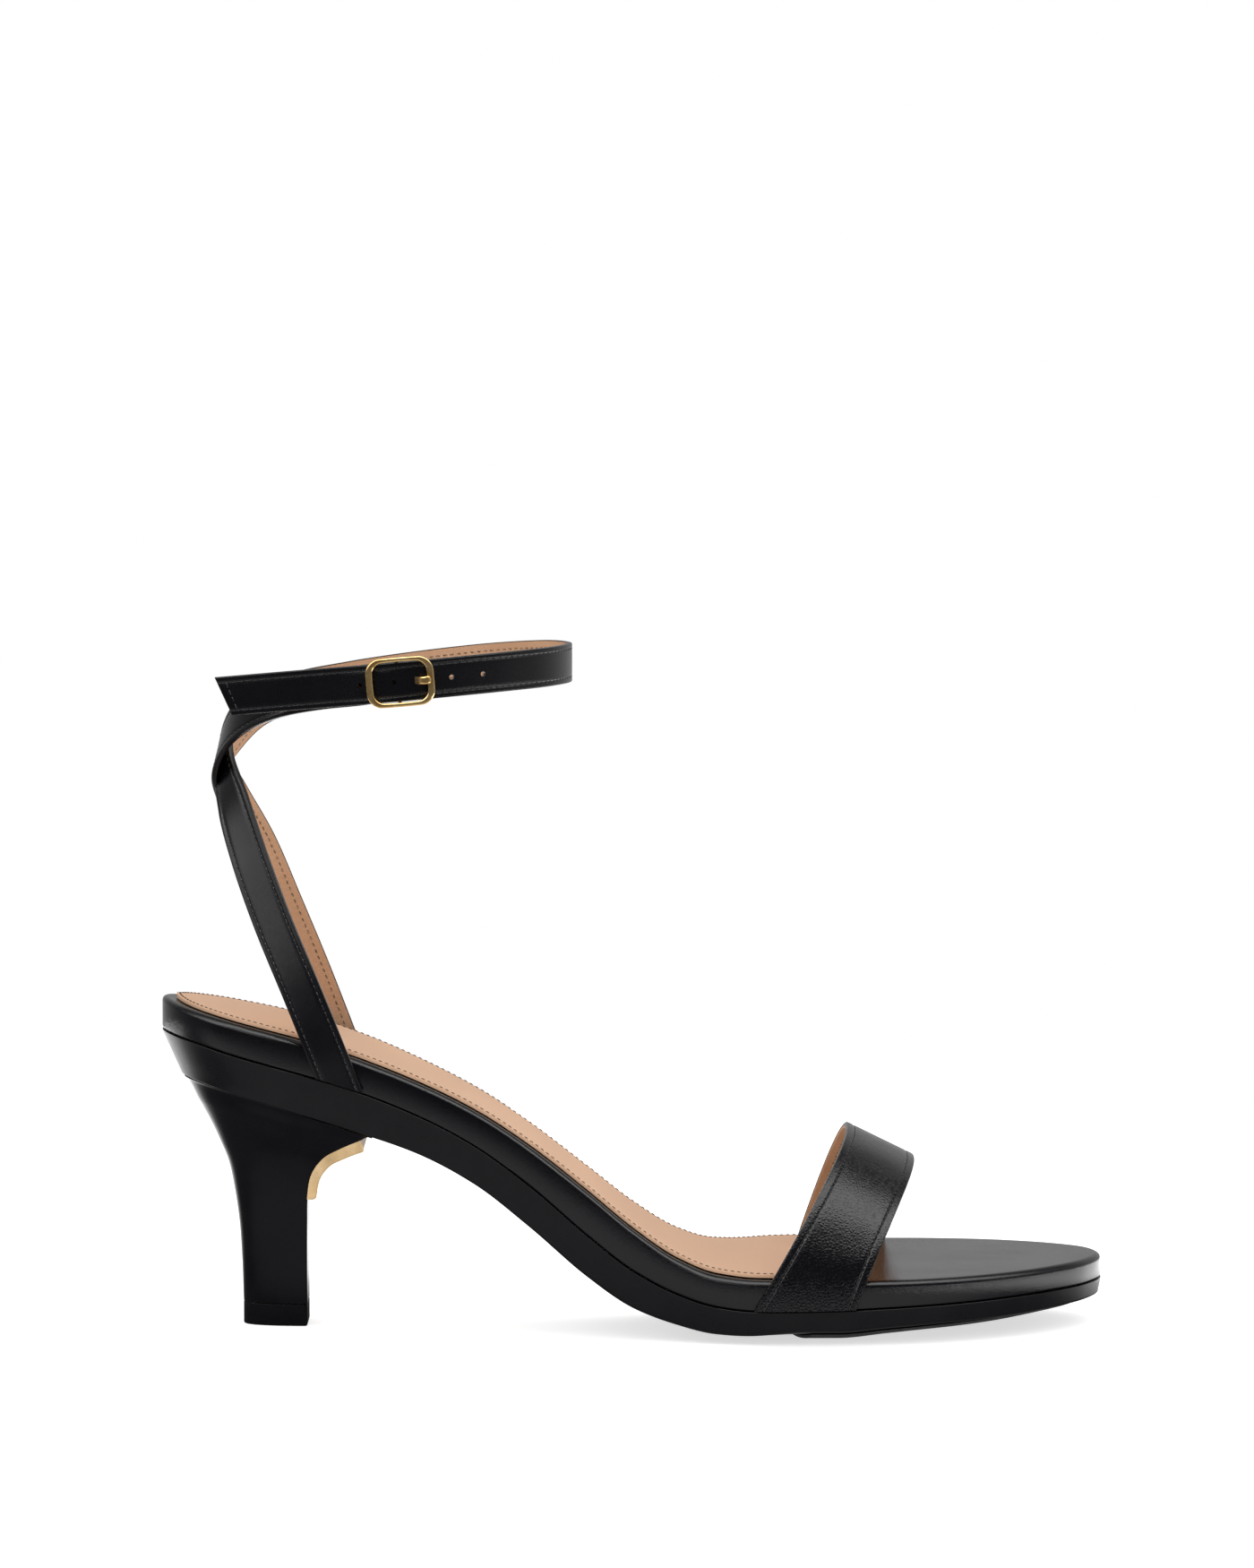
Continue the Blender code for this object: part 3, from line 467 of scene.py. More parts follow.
def toe_strap_grid(shares_of_row):
    """Inner face of the strap: rows round the foot, columns at the given shares from rear to front."""
    lateral, medial = footbed_sides()
    rear, front = np.array(TOE_STRAP_EDGES)
    bulge = 2 / TOE_STRAP_ROUNDNESS
    rows = []
    for r in range(TOE_STRAP_ROWS + 1):
        turn = math.pi * r / TOE_STRAP_ROWS
        rise = abs(math.sin(turn)) ** bulge
        swing = abs(math.cos(turn)) ** bulge
        on_outer_side = turn < math.pi / 2
        side = lateral if on_outer_side else medial
        row = []
        for share in shares_of_row(r):
            outer_x, inner_x, crown_x, crown_z, bow = rear + share * (front - rear)
            foot_x = outer_x if on_outer_side else inner_x
            x = foot_x + (crown_x - foot_x) * rise - bow * 4 * rise * (1 - rise)
            edge_y = np.interp(x, side[:, 0], side[:, 1])
            edge_y += math.copysign(TOE_STRAP_CLEARANCE, edge_y)
            foot_z = seam_height(foot_x) + PIECE_GAP
            row.append((x, edge_y * swing, foot_z + (crown_z - foot_z) * rise))
        rows.append(row)
    return np.array(rows)


def grid_normals(grid):
    """Outward direction at each place of the strap's inner face."""
    round_foot = np.gradient(grid, axis=0)
    to_front = np.gradient(grid, axis=1)
    normals = np.cross(to_front, round_foot)
    normals /= np.linalg.norm(normals, axis=2)[:, :, None]
    upward = normals[TOE_STRAP_ROWS // 2, 0, 2] > 0
    return normals if upward else -normals


edge_grid = toe_strap_grid(lambda row: (0.0, 1.0))
TOE_WIDTHS = np.linalg.norm(edge_grid[:, 1] - edge_grid[:, 0], axis=1)


def folded_face(offset):
    """Height of the strap's outer face at a distance from its edge: rolled, beaded, grooved."""
    fold = TOE_STRAP_THICKNESS - TOE_LINING_THICKNESS
    roll = TOE_STRAP_THICKNESS - fold * edge_fall(offset, TOE_EDGE_ROLL)
    bead = TOE_EDGE_BEAD * soft_rise(offset, TOE_STITCH_INSET / 2, TOE_BEAD_HALF_WIDTH)
    groove = TOE_GROOVE_DEPTH * soft_rise(offset, TOE_STITCH_INSET, GROOVE_HALF_WIDTH)
    return roll + bead - groove


def groove_columns(middle, half_width, reach):
    """Places across a sewing groove, close enough together to shape it."""
    return [middle + half_width * k / 2 for k in range(-reach, reach + 1)]


# Distances from the nearer edge at which the outer face has a column of points
TOE_COLUMNS = TOE_EDGE_COLUMNS + groove_columns(TOE_STITCH_INSET, GROOVE_HALF_WIDTH, reach=4)


def toe_strap_columns(row, inset=0.0):
    """Shares from rear to front, close together at the edges."""
    near = (np.array(TOE_COLUMNS) + inset) / TOE_WIDTHS[row]
    middle = np.linspace(near[-1], 1 - near[-1], TOE_INNER_STEPS)[1:-1]
    return np.concatenate([near, middle, 1 - near[::-1]])


def crease_depth(row):
    """How far the hand-placed creases sink the outer face in one row."""
    angle = 180.0 * row / TOE_STRAP_ROWS
    return sum(depth * soft_rise(angle, middle, half) for middle, half, depth in TOE_STRAP_CREASES)


def layer_rings(grid, normals, low, high):
    """Closed rings of a layer on the strap's inner face, between two heights for each place."""
    outer = grid + normals * high[:, :, None]
    inner = grid + normals * low[:, :, None]
    return [np.vstack([a, b[::-1]]) for a, b in zip(outer, inner)]


def loft_mesh(rings):
    """Points and faces of a solid through closed rings, its ends filled across."""
    count = len(rings[0])
    points = np.vstack(rings)
    faces = wall_faces(len(rings), count)
    for first in (0, (len(rings) - 1) * count):
        left = first
        right = first + count - 1
        while right - left > 1:
            corners = (left, left + 1, right - 1, right)
            faces.append(tuple(dict.fromkeys(corners)))
            left += 1
            right -= 1
    return points, faces


def stitch_template():
    """One stitch along x: a thin capsule whose ends dive into the leather. Half sizes are 1."""
    sides = STITCH_SIDES
    points = [(-1.0, 0.0, -STITCH_DIVE)]
    for along, radius in STITCH_RINGS:
        for k in range(sides):
            turn = 2 * math.pi * k / sides
            points.append((along, radius * math.cos(turn), radius * math.sin(turn) - STITCH_DIVE * along**2))
    points.append((1.0, 0.0, -STITCH_DIVE))
    last = len(points) - 1
    walls = np.array(wall_faces(len(STITCH_RINGS), sides)) + 1
    faces = [(0, 1 + (k + 1) % sides, 1 + k) for k in range(sides)] + walls.tolist()
    start = last - sides
    faces += [(last, start + k, start + (k + 1) % sides) for k in range(sides)]
    return np.array(points), faces


def stitch_mesh(lines, pitch, length, width, height):
    """Points and faces of all stitches along seam lines; a line is its points and outward directions."""
    shape, shape_faces = stitch_template()
    shape = shape * np.array((length / 2, width / 2, height))
    points = []
    faces = []
    for places, outward in lines:
        travel = travel_along(places)
        count = int(travel[-1] / pitch)
        middles = (np.arange(count) + 0.5) * travel[-1] / count
        here = points_at(places, middles)
        ahead = points_at(places, middles + STITCH_REACH)
        along = unit_rows(ahead - points_at(places, middles - STITCH_REACH))
        up = rows_between(travel, outward, middles)
        up = unit_rows(up - along * np.sum(up * along, axis=1)[:, None])
        across = np.cross(up, along)
        for place, directions in zip(here, np.stack([along, across, up], axis=1)):
            first = len(points) * len(shape)
            points.append(place + shape @ directions)
            faces += [tuple(first + i for i in face) for face in shape_faces]
    return np.vstack(points), faces


def thread(name, dark, light, roughness):
    """Twisted sewing thread: fine slanted strands, its colour painted darker in the grooves between them as
    shade and lighter on their crests as highlight.
    """
    material, tree, shader = new_material(name)
    places = add_node(tree, "TexCoord", {}).outputs["Object"]
    twist = {"Vector": places, "Scale": STRANDS_PER_METRE, "Distortion": 1.5, "Detail": 1.0}
    strands = add_node(tree, "TexWave", twist, bands_direction="DIAGONAL")
    bump = add_node(tree, "Bump", {"Height": strands.outputs[1], "Distance": STRAND_DEPTH * MM})
    connect(tree, shader, {
        # Painted shade and highlight: the colour follows the strands' height, dark in their grooves and light
        # on their crests
        "Base Color": mixed_colour(tree, strands.outputs[1], (*dark, 1.0), (*light, 1.0)),
        "Roughness": roughness, "Normal": bump.outputs["Normal"],
    })
    return material


toe_grid = toe_strap_grid(toe_strap_columns)
toe_normals = grid_normals(toe_grid)
toe_offsets = np.array([
    np.minimum(shares, 1 - shares) * TOE_WIDTHS[r]
    for r, shares in enumerate(map(toe_strap_columns, range(TOE_STRAP_ROWS + 1)))
])
creases = np.array([crease_depth(r) for r in range(TOE_STRAP_ROWS + 1)])
crease_reach = np.clip((toe_offsets - TOE_STITCH_INSET) / CREASE_FADE, 0.0, 1.0)
toe_face = folded_face(toe_offsets) - creases[:, None] * crease_reach
toe_joint = np.full_like(toe_face, TOE_LINING_THICKNESS)
strap_leather = leather(
    "strap black leather", BLACK_DARK, BLACK_LIGHT, gloss=0.12, dull=0.19, ior=BLACK_IOR,
    grain_size=0.8, grain_depth=0.04)
toe_strap = mesh_piece(
    "toe_strap_leather", *loft_mesh(layer_rings(toe_grid, toe_normals, toe_joint, toe_face)),
    strap_leather, "black_leather")
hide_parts("toe_strap")

lining_grid = toe_strap_grid(lambda row: toe_strap_columns(row, TOE_LINING_INSET))
lining_ease = TOE_LINING_EASE * np.clip(1 - toe_offsets / TOE_LINING_EASE_WIDTH, 0.0, 1.0)
lining_rings = layer_rings(lining_grid, grid_normals(lining_grid), lining_ease, toe_joint)
lining_leather = leather(
    "tan lining leather", TAN_DARK, TAN_LIGHT, gloss=0.50, dull=0.64, ior=TAN_IOR,
    grain_size=0.5, grain_depth=0.02)
mesh_piece("toe_strap_lining", *loft_mesh(lining_rings), lining_leather, "tan_leather")

groove_column = TOE_COLUMNS.index(TOE_STITCH_INSET)
black_lines = []
tan_lines = []
for column in (groove_column, -1 - groove_column):
    seat = toe_grid[:, column] + toe_normals[:, column] * toe_face[:, column][:, None]
    black_lines.append((seat, toe_normals[:, column]))
    tan_lines.append((toe_grid[:, column], -toe_normals[:, column]))
black_thread = thread("black thread", *BLACK_THREAD_SHADE_TO_HIGHLIGHT, roughness=0.34)
tan_thread = thread("tan thread", *TAN_THREAD_SHADE_TO_HIGHLIGHT, roughness=0.5)
mesh_piece("toe_strap_stitches", *stitch_mesh(black_lines, **TOE_STITCH), black_thread, "black_leather")
mesh_piece("toe_lining_stitches", *stitch_mesh(tan_lines, **TOE_STITCH), tan_thread, "tan_leather")

# Ankle straps
# Two narrow straps of black leather on a tan lining, sewn along both edges and dyed black on the cut
# edges. They rise from the seam, cross behind the ankle, and one runs round it to its punched end.
ANKLE_STRAP_WIDTH = 9.5
ANKLE_STRAP_THICKNESS = 1.4
ANKLE_LINING_THICKNESS = 0.5
ANKLE_LINING_INSET = 0.14
ANKLE_LINING_EASE = 0.15
ANKLE_LINING_RIM = 1.0
STRAP_EDGE_ROUNDING = 0.35
STRAP_EDGE_COLUMNS = [0.0, 0.03, 0.1, 0.2, 0.35, 0.65]
STRAP_FACE_COLUMNS = [2.4, 3.4]
STRAP_RIM_WIDTH = 0.12
STRAP_RIM_ROUNDING = 0.1
STRAP_FOOT_SLANT = 3.8
TAIL_SLANT = -1.7
SLANT_REACH = 20.0
STRAP_STEP = 1.0
STRAP_STITCH_INSET = 1.3
STRAP_GROOVE_DEPTH = 0.14
STRAP_STITCH = {"pitch": 1.75, "length": 1.25, "width": 0.36, "height": 0.22}
LINING_STITCH = {"pitch": 1.75, "length": 1.3, "width": 0.42, "height": 0.2}
LINING_STITCH_INSET = 1.9
END_SEAM_POINTS = 8
# Grey thread: from painted shade in the grooves between strands to painted highlight on their crests
GREY_THREAD_SHADE_TO_HIGHLIGHT = ((0.006, 0.006, 0.007), (0.042, 0.042, 0.045))

# Between these distances along the inner strap, round the crossing, its back is black strap leather instead
# of tan lining: painted shade for the shadow between the two straps
CROSSING_PAINTED_SHADE = (80.0, 93.0)

BAR_LOOP_MIDDLE = (-56.0, -30.1, 160.1)
BAR_LOOP_RADIUS = 2.0
BAR_LOOP_START = 255.0
BAR_LOOP_TURN = 180.0
BAR_LOOP_STEPS = 6
HOLE_RADIUS = 0.6
HOLE_SIDES = 20
HOLE_DEPTH = 4.0
HOLES_FROM_TAIL = (33.0, 41.5, 47.4, 55.4, 63.3)

# From the outer seam round the back, the inner side and the front to the free end
# columns: x, y, z of its middle line, direction that its outer face looks to, in degrees,
# and how far that face leans upward, in degrees
OUTER_STRAP = [
    (-70.6, -27.2, 61.9, -90.0, 0.0), (-74.3, -27.6, 71.5, -90.0, 0.0), (-79.9, -25.6, 85.0, -93.0, 0.0),
    (-87.1, -20.4, 101.5, -99.0, 0.0), (-93.1, -13.8, 117.0, -110.0, 3.0), (-97.0, -7.2, 128.6, -128.0, 8.0),
    (-99.4, 1.3, 138.0, -164.0, 12.0), (-97.2, 8.8, 144.2, -201.0, 12.0), (-92.4, 16.4, 150.1, -224.0, 8.0),
    (-84.4, 23.4, 153.7, -239.0, 4.0), (-69.6, 30.2, 156.5, -257.0, 0.0), (-52.0, 32.4, 159.0, -273.0, 0.0),
    (-34.0, 28.4, 161.2, -297.0, 0.0), (-20.6, 17.6, 162.5, -327.0, 0.0), (-15.1, 1.5, 162.8, -360.0, 0.0),
    (-19.8, -14.6, 162.6, -394.0, 0.0), (-32.0, -26.4, 162.0, -420.0, 0.0),
    (-46.6, -32.1, 160.9, -443.0, 0.0), (-51.6, -33.3, 160.5, -448.0, 0.0),
    (-56.0, -33.8, 160.1, -451.0, 0.0), (-60.4, -33.2, 159.7, -453.0, 0.0),
    (-64.8, -32.3, 159.3, -455.0, 0.0), (-80.0, -31.6, 158.05, -453.0, 0.0),
    (-98.0, -30.4, 156.45, -453.0, 0.0),
]

# From the inner seam round the back, outside the other strap, to the buckle bar; columns as above
INNER_STRAP = [
    (-70.8, 28.2, 61.6, 90.0, 0.0), (-74.6, 28.9, 71.5, 90.0, 0.0), (-79.7, 27.2, 85.0, 94.0, 0.0),
    (-86.2, 22.6, 101.5, 102.0, 0.0), (-92.2, 16.2, 117.0, 116.0, 3.0), (-97.7, 9.4, 128.8, 142.0, 8.0),
    (-100.9, 1.3, 138.2, 176.0, 15.0), (-98.5, -6.8, 146.0, 202.0, 20.0), (-93.2, -14.4, 151.6, 222.0, 14.0),
    (-85.8, -21.2, 155.3, 237.0, 6.0), (-75.0, -26.5, 157.7, 249.0, 0.0), (-66.0, -29.4, 158.8, 255.0, 0.0),
]
TURNED_END = [
    (-61.5, -28.4, 159.5, 435.0, 0.0), (-68.0, -26.7, 158.6, 432.0, 0.0),
]


def bar_loop_rows():
    """Rows of the strap's turn round the buckle bar, worked out as an arc."""
    middle_x, middle_y, z = BAR_LOOP_MIDDLE
    rows = []
    for k in range(BAR_LOOP_STEPS + 1):
        facing = BAR_LOOP_START + BAR_LOOP_TURN * k / BAR_LOOP_STEPS
        x = middle_x + BAR_LOOP_RADIUS * math.cos(math.radians(facing))
        y = middle_y + BAR_LOOP_RADIUS * math.sin(math.radians(facing))
        rows.append((x, y, z, facing, 0.0))
    return rows


class StrapPath:
    """Middle line of a strap with its directions, and places on it by distance, side and depth."""

    def __init__(self, rows, foot_slant, end_slant):
        fine = curve_through(rows)
        self.length = travel_along(fine)[-1]
        count = int(self.length / STRAP_STEP) + 1
        path = even_points(fine, count)
        self.distances = np.linspace(0.0, self.length, count)
        self.middle = path[:, :3]
        self.forward = unit_rows(np.gradient(self.middle, axis=0))
        facing = np.radians(path[:, 3])
        lean = np.radians(path[:, 4])
        level = np.cos(lean)
        out = np.column_stack([level * np.cos(facing), level * np.sin(facing), np.sin(lean)])
        out -= self.forward * np.sum(out * self.forward, axis=1)[:, None]
        self.outward = unit_rows(out)
        self.across = np.cross(self.outward, self.forward)
        start_share = np.clip(1 - self.distances / SLANT_REACH, 0.0, 1.0)
        end_share = np.clip(1 - (self.length - self.distances) / SLANT_REACH, 0.0, 1.0)
        self.slant = (foot_slant * start_share + end_slant * end_share) / (ANKLE_STRAP_WIDTH / 2)

    def line(self, sideways, depth):
        """A line along the strap at one place of its section."""
        lean = self.across + self.forward * self.slant[:, None]
        return self.middle + lean * sideways + self.outward * depth

    def rings(self, section):
        """Rings of a solid strap, from an outline of places across and out from it."""
        lines = [self.line(sideways, depth) for sideways, depth in section]
        return np.stack(lines, axis=1)

    def at(self, distance):
        """Middle and outward direction at one distance."""
        middle = rows_between(self.distances, self.middle, distance)[0]
        outward = rows_between(self.distances, self.outward, distance)[0]
        return Vector(middle), Vector(outward).normalized()


def strap_face(offset):
    """Height of the outer face at a distance from the strap's edge: eased edge and sewing groove."""
    eased = ANKLE_STRAP_THICKNESS / 2 - STRAP_EDGE_ROUNDING * edge_fall(offset, STRAP_EDGE_ROUNDING)
    return eased - STRAP_GROOVE_DEPTH * soft_rise(offset, STRAP_STITCH_INSET, GROOVE_HALF_WIDTH)


def strap_back(offset, joint):
    """Height of the black leather's back: a dyed rim at the strap's edge, the lining's bed inside it."""
    rim = STRAP_RIM_ROUNDING * edge_fall(offset, STRAP_RIM_ROUNDING) - ANKLE_STRAP_THICKNESS / 2
    return np.where(offset < STRAP_RIM_WIDTH, rim, joint)


def strap_sections():
    """Outlines of the black leather and of the lining in its bed."""
    wide = ANKLE_STRAP_WIDTH / 2
    joint = ANKLE_LINING_THICKNESS - ANKLE_STRAP_THICKNESS / 2
    groove = groove_columns(STRAP_STITCH_INSET, GROOVE_HALF_WIDTH, reach=3)
    offsets = np.array(STRAP_EDGE_COLUMNS + groove + STRAP_FACE_COLUMNS)
    places = np.concatenate([offsets - wide, [0.0], wide - offsets[::-1]])
    to_edge = wide - np.abs(places)
    face = list(zip(places, strap_face(to_edge)))
    back = list(zip(places, strap_back(to_edge, joint)))
    leather_outline = face + back[::-1]

    ease = ANKLE_LINING_EASE
    under = -ANKLE_STRAP_THICKNESS / 2
    inner = wide - ANKLE_LINING_INSET
    half = [(0.0, under), (inner - ANKLE_LINING_RIM, under), (inner - ease, under), (inner, under + ease)]
    below = [(-y, z) for y, z in reversed(half)] + half[1:]
    above = [(y, joint) for y, _ in reversed(below)]
    return leather_outline, below + above


def hole_cutter(name, places):
    """Round punches, one for each place and direction, joined in one mesh."""
    work = bmesh.new()
    radius = HOLE_RADIUS * MM
    for middle, outward in places:
        turn = outward.to_track_quat("Z", "Y").to_matrix().to_4x4()
        bmesh.ops.create_cone(
            work, cap_ends=True, segments=HOLE_SIDES, radius1=radius, radius2=radius,
            depth=HOLE_DEPTH * MM, matrix=Matrix.Translation(middle * MM) @ turn)
    mesh = bpy.data.meshes.new(name)
    work.to_mesh(mesh)
    work.free()
    return place_object(name, mesh)


def punch(piece, cutter):
    """Cut the holes through a strap and keep the cut mesh."""
    cut = piece.modifiers.new("holes", "BOOLEAN")
    cut.operation = "DIFFERENCE"
    cut.object = cutter
    cut.solver = "EXACT"
    bpy.context.view_layer.update()
    depsgraph = bpy.context.evaluated_depsgraph_get()
    mesh = bpy.data.meshes.new_from_object(piece.evaluated_get(depsgraph))
    piece.modifiers.clear()
    piece.data = mesh


def seam_lines(path, depth, facing_out, start, end):
    """Sewing lines along both edges of a strap, between two distances."""
    side = ANKLE_STRAP_WIDTH / 2 - (STRAP_STITCH_INSET if facing_out else LINING_STITCH_INSET)
    up = path.outward if facing_out else -path.outward
    kept = (path.distances >= start) & (path.distances < end)
    return [(path.line(place, depth)[kept], up[kept]) for place in (-side, side)]


def end_seam(edge_lines, lift):
    """The sewing line across a strap's end, from the last place of one edge line to the other's."""
    (first, up), (second, _) = edge_lines
    across = even_points([first[-1], second[-1]], END_SEAM_POINTS) + up[-1] * lift
    return across, np.repeat(up[-1:], END_SEAM_POINTS, axis=0)


outer_path = StrapPath(OUTER_STRAP, STRAP_FOOT_SLANT, TAIL_SLANT)
inner_path = StrapPath(INNER_STRAP + bar_loop_rows() + TURNED_END, -STRAP_FOOT_SLANT, 0.0)
leather_section, lining_section = strap_sections()
ankle_leather = leather(
    "ankle strap black leather", BLACK_DARK, BLACK_LIGHT, gloss=0.20, dull=0.28, ior=BLACK_IOR,
    grain_size=0.5, grain_depth=0.013)
face_depth = float(strap_face(np.array(STRAP_STITCH_INSET)))
lining_depth = -ANKLE_STRAP_THICKNESS / 2

outer_strap = mesh_piece(
    "ankle_strap_outer", *loft_mesh(outer_path.rings(leather_section)), ankle_leather, "black_leather")
outer_lining = mesh_piece(
    "ankle_strap_outer_lining", *loft_mesh(outer_path.rings(lining_section)), lining_leather, "tan_leather")
inner_strap = mesh_piece(
    "ankle_strap_inner", *loft_mesh(inner_path.rings(leather_section)), ankle_leather, "black_leather")
inner_backing = inner_path.rings(lining_section)
first, last = np.searchsorted(inner_path.distances, CROSSING_PAINTED_SHADE)
# The middle stretch of the inner strap's back is black leather, painted shade where the straps cross; tan
# lining lies on both sides of it
for name, rings, finish, slot in [
        ("ankle_strap_inner_lining_low", inner_backing[:first + 1], lining_leather, "tan_leather"),
        ("ankle_strap_painted_shade", inner_backing[first:last + 1], ankle_leather, "black_leather"),
        ("ankle_strap_inner_lining_high", inner_backing[last:], lining_leather, "tan_leather")]:
    mesh_piece(name, *loft_mesh(rings), finish, slot)
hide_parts("ankle_straps")
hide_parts("ankle_straps")

punches = hole_cutter("punches", [outer_path.at(outer_path.length - back) for back in HOLES_FROM_TAIL])
punch(outer_strap, punches)
punch(outer_lining, punches)
bpy.data.objects.remove(punches, do_unlink=True)

tail_seam = outer_path.length - STRAP_STITCH_INSET
outside_lines = seam_lines(outer_path, face_depth, True, 0.0, tail_seam)
outside_lines.append(end_seam(outside_lines, STRAP_GROOVE_DEPTH))
outside_lines += seam_lines(inner_path, face_depth, True, 0.0, inner_path.length)
inside_lines = seam_lines(outer_path, lining_depth, False, 0.0, tail_seam)
inside_lines.append(end_seam(inside_lines, 0.0))
# No tan stitches on the black stretch of painted shade at the crossing
shade_start, shade_end = CROSSING_PAINTED_SHADE
inside_lines += seam_lines(inner_path, lining_depth, False, 0.0, shade_start)
inside_lines += seam_lines(inner_path, lining_depth, False, shade_end, inner_path.length)
grey_thread = thread("grey thread", *GREY_THREAD_SHADE_TO_HIGHLIGHT, roughness=0.28)
mesh_piece("ankle_strap_stitches", *stitch_mesh(outside_lines, **STRAP_STITCH), grey_thread, "black_leather")
mesh_piece("ankle_lining_stitches", *stitch_mesh(inside_lines, **LINING_STITCH), tan_thread, "tan_leather")

# Buckle
# A small cast frame of polished pale gold with softly rounded bars. The strap is sewn round a bar
# that dips behind it, and the pin comes up through a hole and rests on the front bar.
BUCKLE_LENGTH = 16.5
BUCKLE_HEIGHT = 12.0
BUCKLE_BAR = 1.1
BUCKLE_SIDE_BAR = 1.65
BUCKLE_CORNER = 3.3
BUCKLE_INNER_CORNER = 2.2
BUCKLE_CORNER_STEPS = 12
BUCKLE_SIDE_STEPS = 14
BUCKLE_BARREL = 0.2
BUCKLE_TILT = math.radians(5.0)
BUCKLE_MIDDLE = (-55.4, -35.4, 160.2)
CENTRE_BAR_DEPTH = 5.3
CENTRE_BAR_RADIUS = 0.45
CENTRE_BAR_SHIFT = -0.6
CENTRE_BAR_BEND = 1.6
CENTRE_BAR_BEND_STEPS = 6
CENTRE_BAR_OVERLAP = 0.1
PRONG_WIDTH = 1.9
PRONG_THICKNESS = 1.15
PRONG_TIP_ROUNDING = 0.9
PRONG_TIP_CUT = 0.97
SWEEP_SECTIONS = 40
SECTION_POINTS = 24
CIRCLE_SECTION = 2.0
ROUND_SECTION = 2.2
FLAT_SECTION = 3.6
GOLD_DEEP = (0.74, 0.47, 0.17)
GOLD_PALE = (0.92, 0.68, 0.36)
CLOUD_RANGE = (0.35, 0.7)

# columns: place along the strap, across it, and out from it, in the buckle's own axes
PRONG_PATH = [
    (3.6, 0.0, -3.2), (3.85, 0.0, -1.9), (4.4, 0.0, -0.4), (5.2, 0.0, 0.8), (6.3, 0.0, 1.4), (7.5, 0.0, 1.25),
]


def make_soft_smudges():
    """Faint handling marks on smooth hard surfaces: cloudy gloss and very low waviness."""
    inputs = [("Scale", "Float"), ("Gloss Roughness", "Float"), ("Dull Roughness", "Float")]
    outputs = [("Cloud", "Float"), ("Roughness", "Float"), ("Height", "Float")]
    tree, given, result = shader_group("soft smudges", inputs, outputs)
    places = add_node(tree, "TexCoord", {}).outputs["Object"]
    clouds = add_node(tree, "TexNoise", {
        "Vector": places, "Scale": given.outputs["Scale"], "Detail": 5.0, "Roughness": 0.6})
    cloud = ranged(tree, clouds.outputs[0], *CLOUD_RANGE, 0.0, 1.0)
    gloss = add_node(tree, "Mix", {
        0: cloud, 2: given.outputs["Gloss Roughness"], 3: given.outputs["Dull Roughness"]})
    connect(tree, result, {"Cloud": cloud, "Roughness": gloss.outputs[0], "Height": clouds.outputs[0]})
    return tree


SOFT_SMUDGES = make_soft_smudges()


def smooth_finish(name, deep, pale, gloss, dull, scale, depth, others):
    """Smooth hard finish with smudges: tones, roughness range, smudges per metre, waviness in mm,
    and values for other sockets of its shader."""
    material, tree, shader = new_material(name)
    smudges = add_node(tree, "Group", {}, node_tree=SOFT_SMUDGES)
    connect(tree, smudges, {"Scale": scale, "Gloss Roughness": gloss, "Dull Roughness": dull})
    bump = add_node(tree, "Bump", {"Height": smudges.outputs["Height"], "Distance": depth * MM})
    connect(tree, shader, {
        "Base Color": mixed_colour(tree, smudges.outputs["Cloud"], (*deep, 1.0), (*pale, 1.0)),
        "Roughness": smudges.outputs["Roughness"], "Normal": bump.outputs["Normal"], **others,
    })
    return material


def soft_section(half_width, half_depth, squareness):
    """Outline of a bar between an ellipse and a rectangle."""
    turns = np.arange(SECTION_POINTS) * 2 * math.pi / SECTION_POINTS
    power = 2 / squareness
    wide = half_width * np.sign(np.cos(turns)) * np.abs(np.cos(turns)) ** power
    deep = half_depth * np.sign(np.sin(turns)) * np.abs(np.sin(turns)) ** power
    return np.column_stack([wide, deep])


def swept_bar(line, sideways, section, scales):
    """Points and faces of a bar: its section carried along a line that stays square to one direction."""
    side = np.array(sideways)
    upward = np.cross(unit_rows(np.gradient(line, axis=0)), side)
    return loft_mesh([
        place + scale * (section[:, :1] * side + section[:, 1:] * up)
        for place, up, scale in zip(line, upward, scales)])


def closed_sweep(rings):
    """Points and faces of a ring-shaped solid, its last ring joined to its first."""
    count = len(rings[0])
    points = np.vstack(rings)
    faces = np.array(wall_faces(len(rings) + 1, count)) % len(points)
    return points, faces.tolist()


def on_shoe(points):
    """Points of the buckle's own axes in the shoe's axes."""
    turn = Matrix.Rotation(-BUCKLE_TILT, 3, "Y") @ Matrix.Rotation(math.radians(90), 3, "X")
    return np.array(points) @ np.array(turn).T + np.array(BUCKLE_MIDDLE)


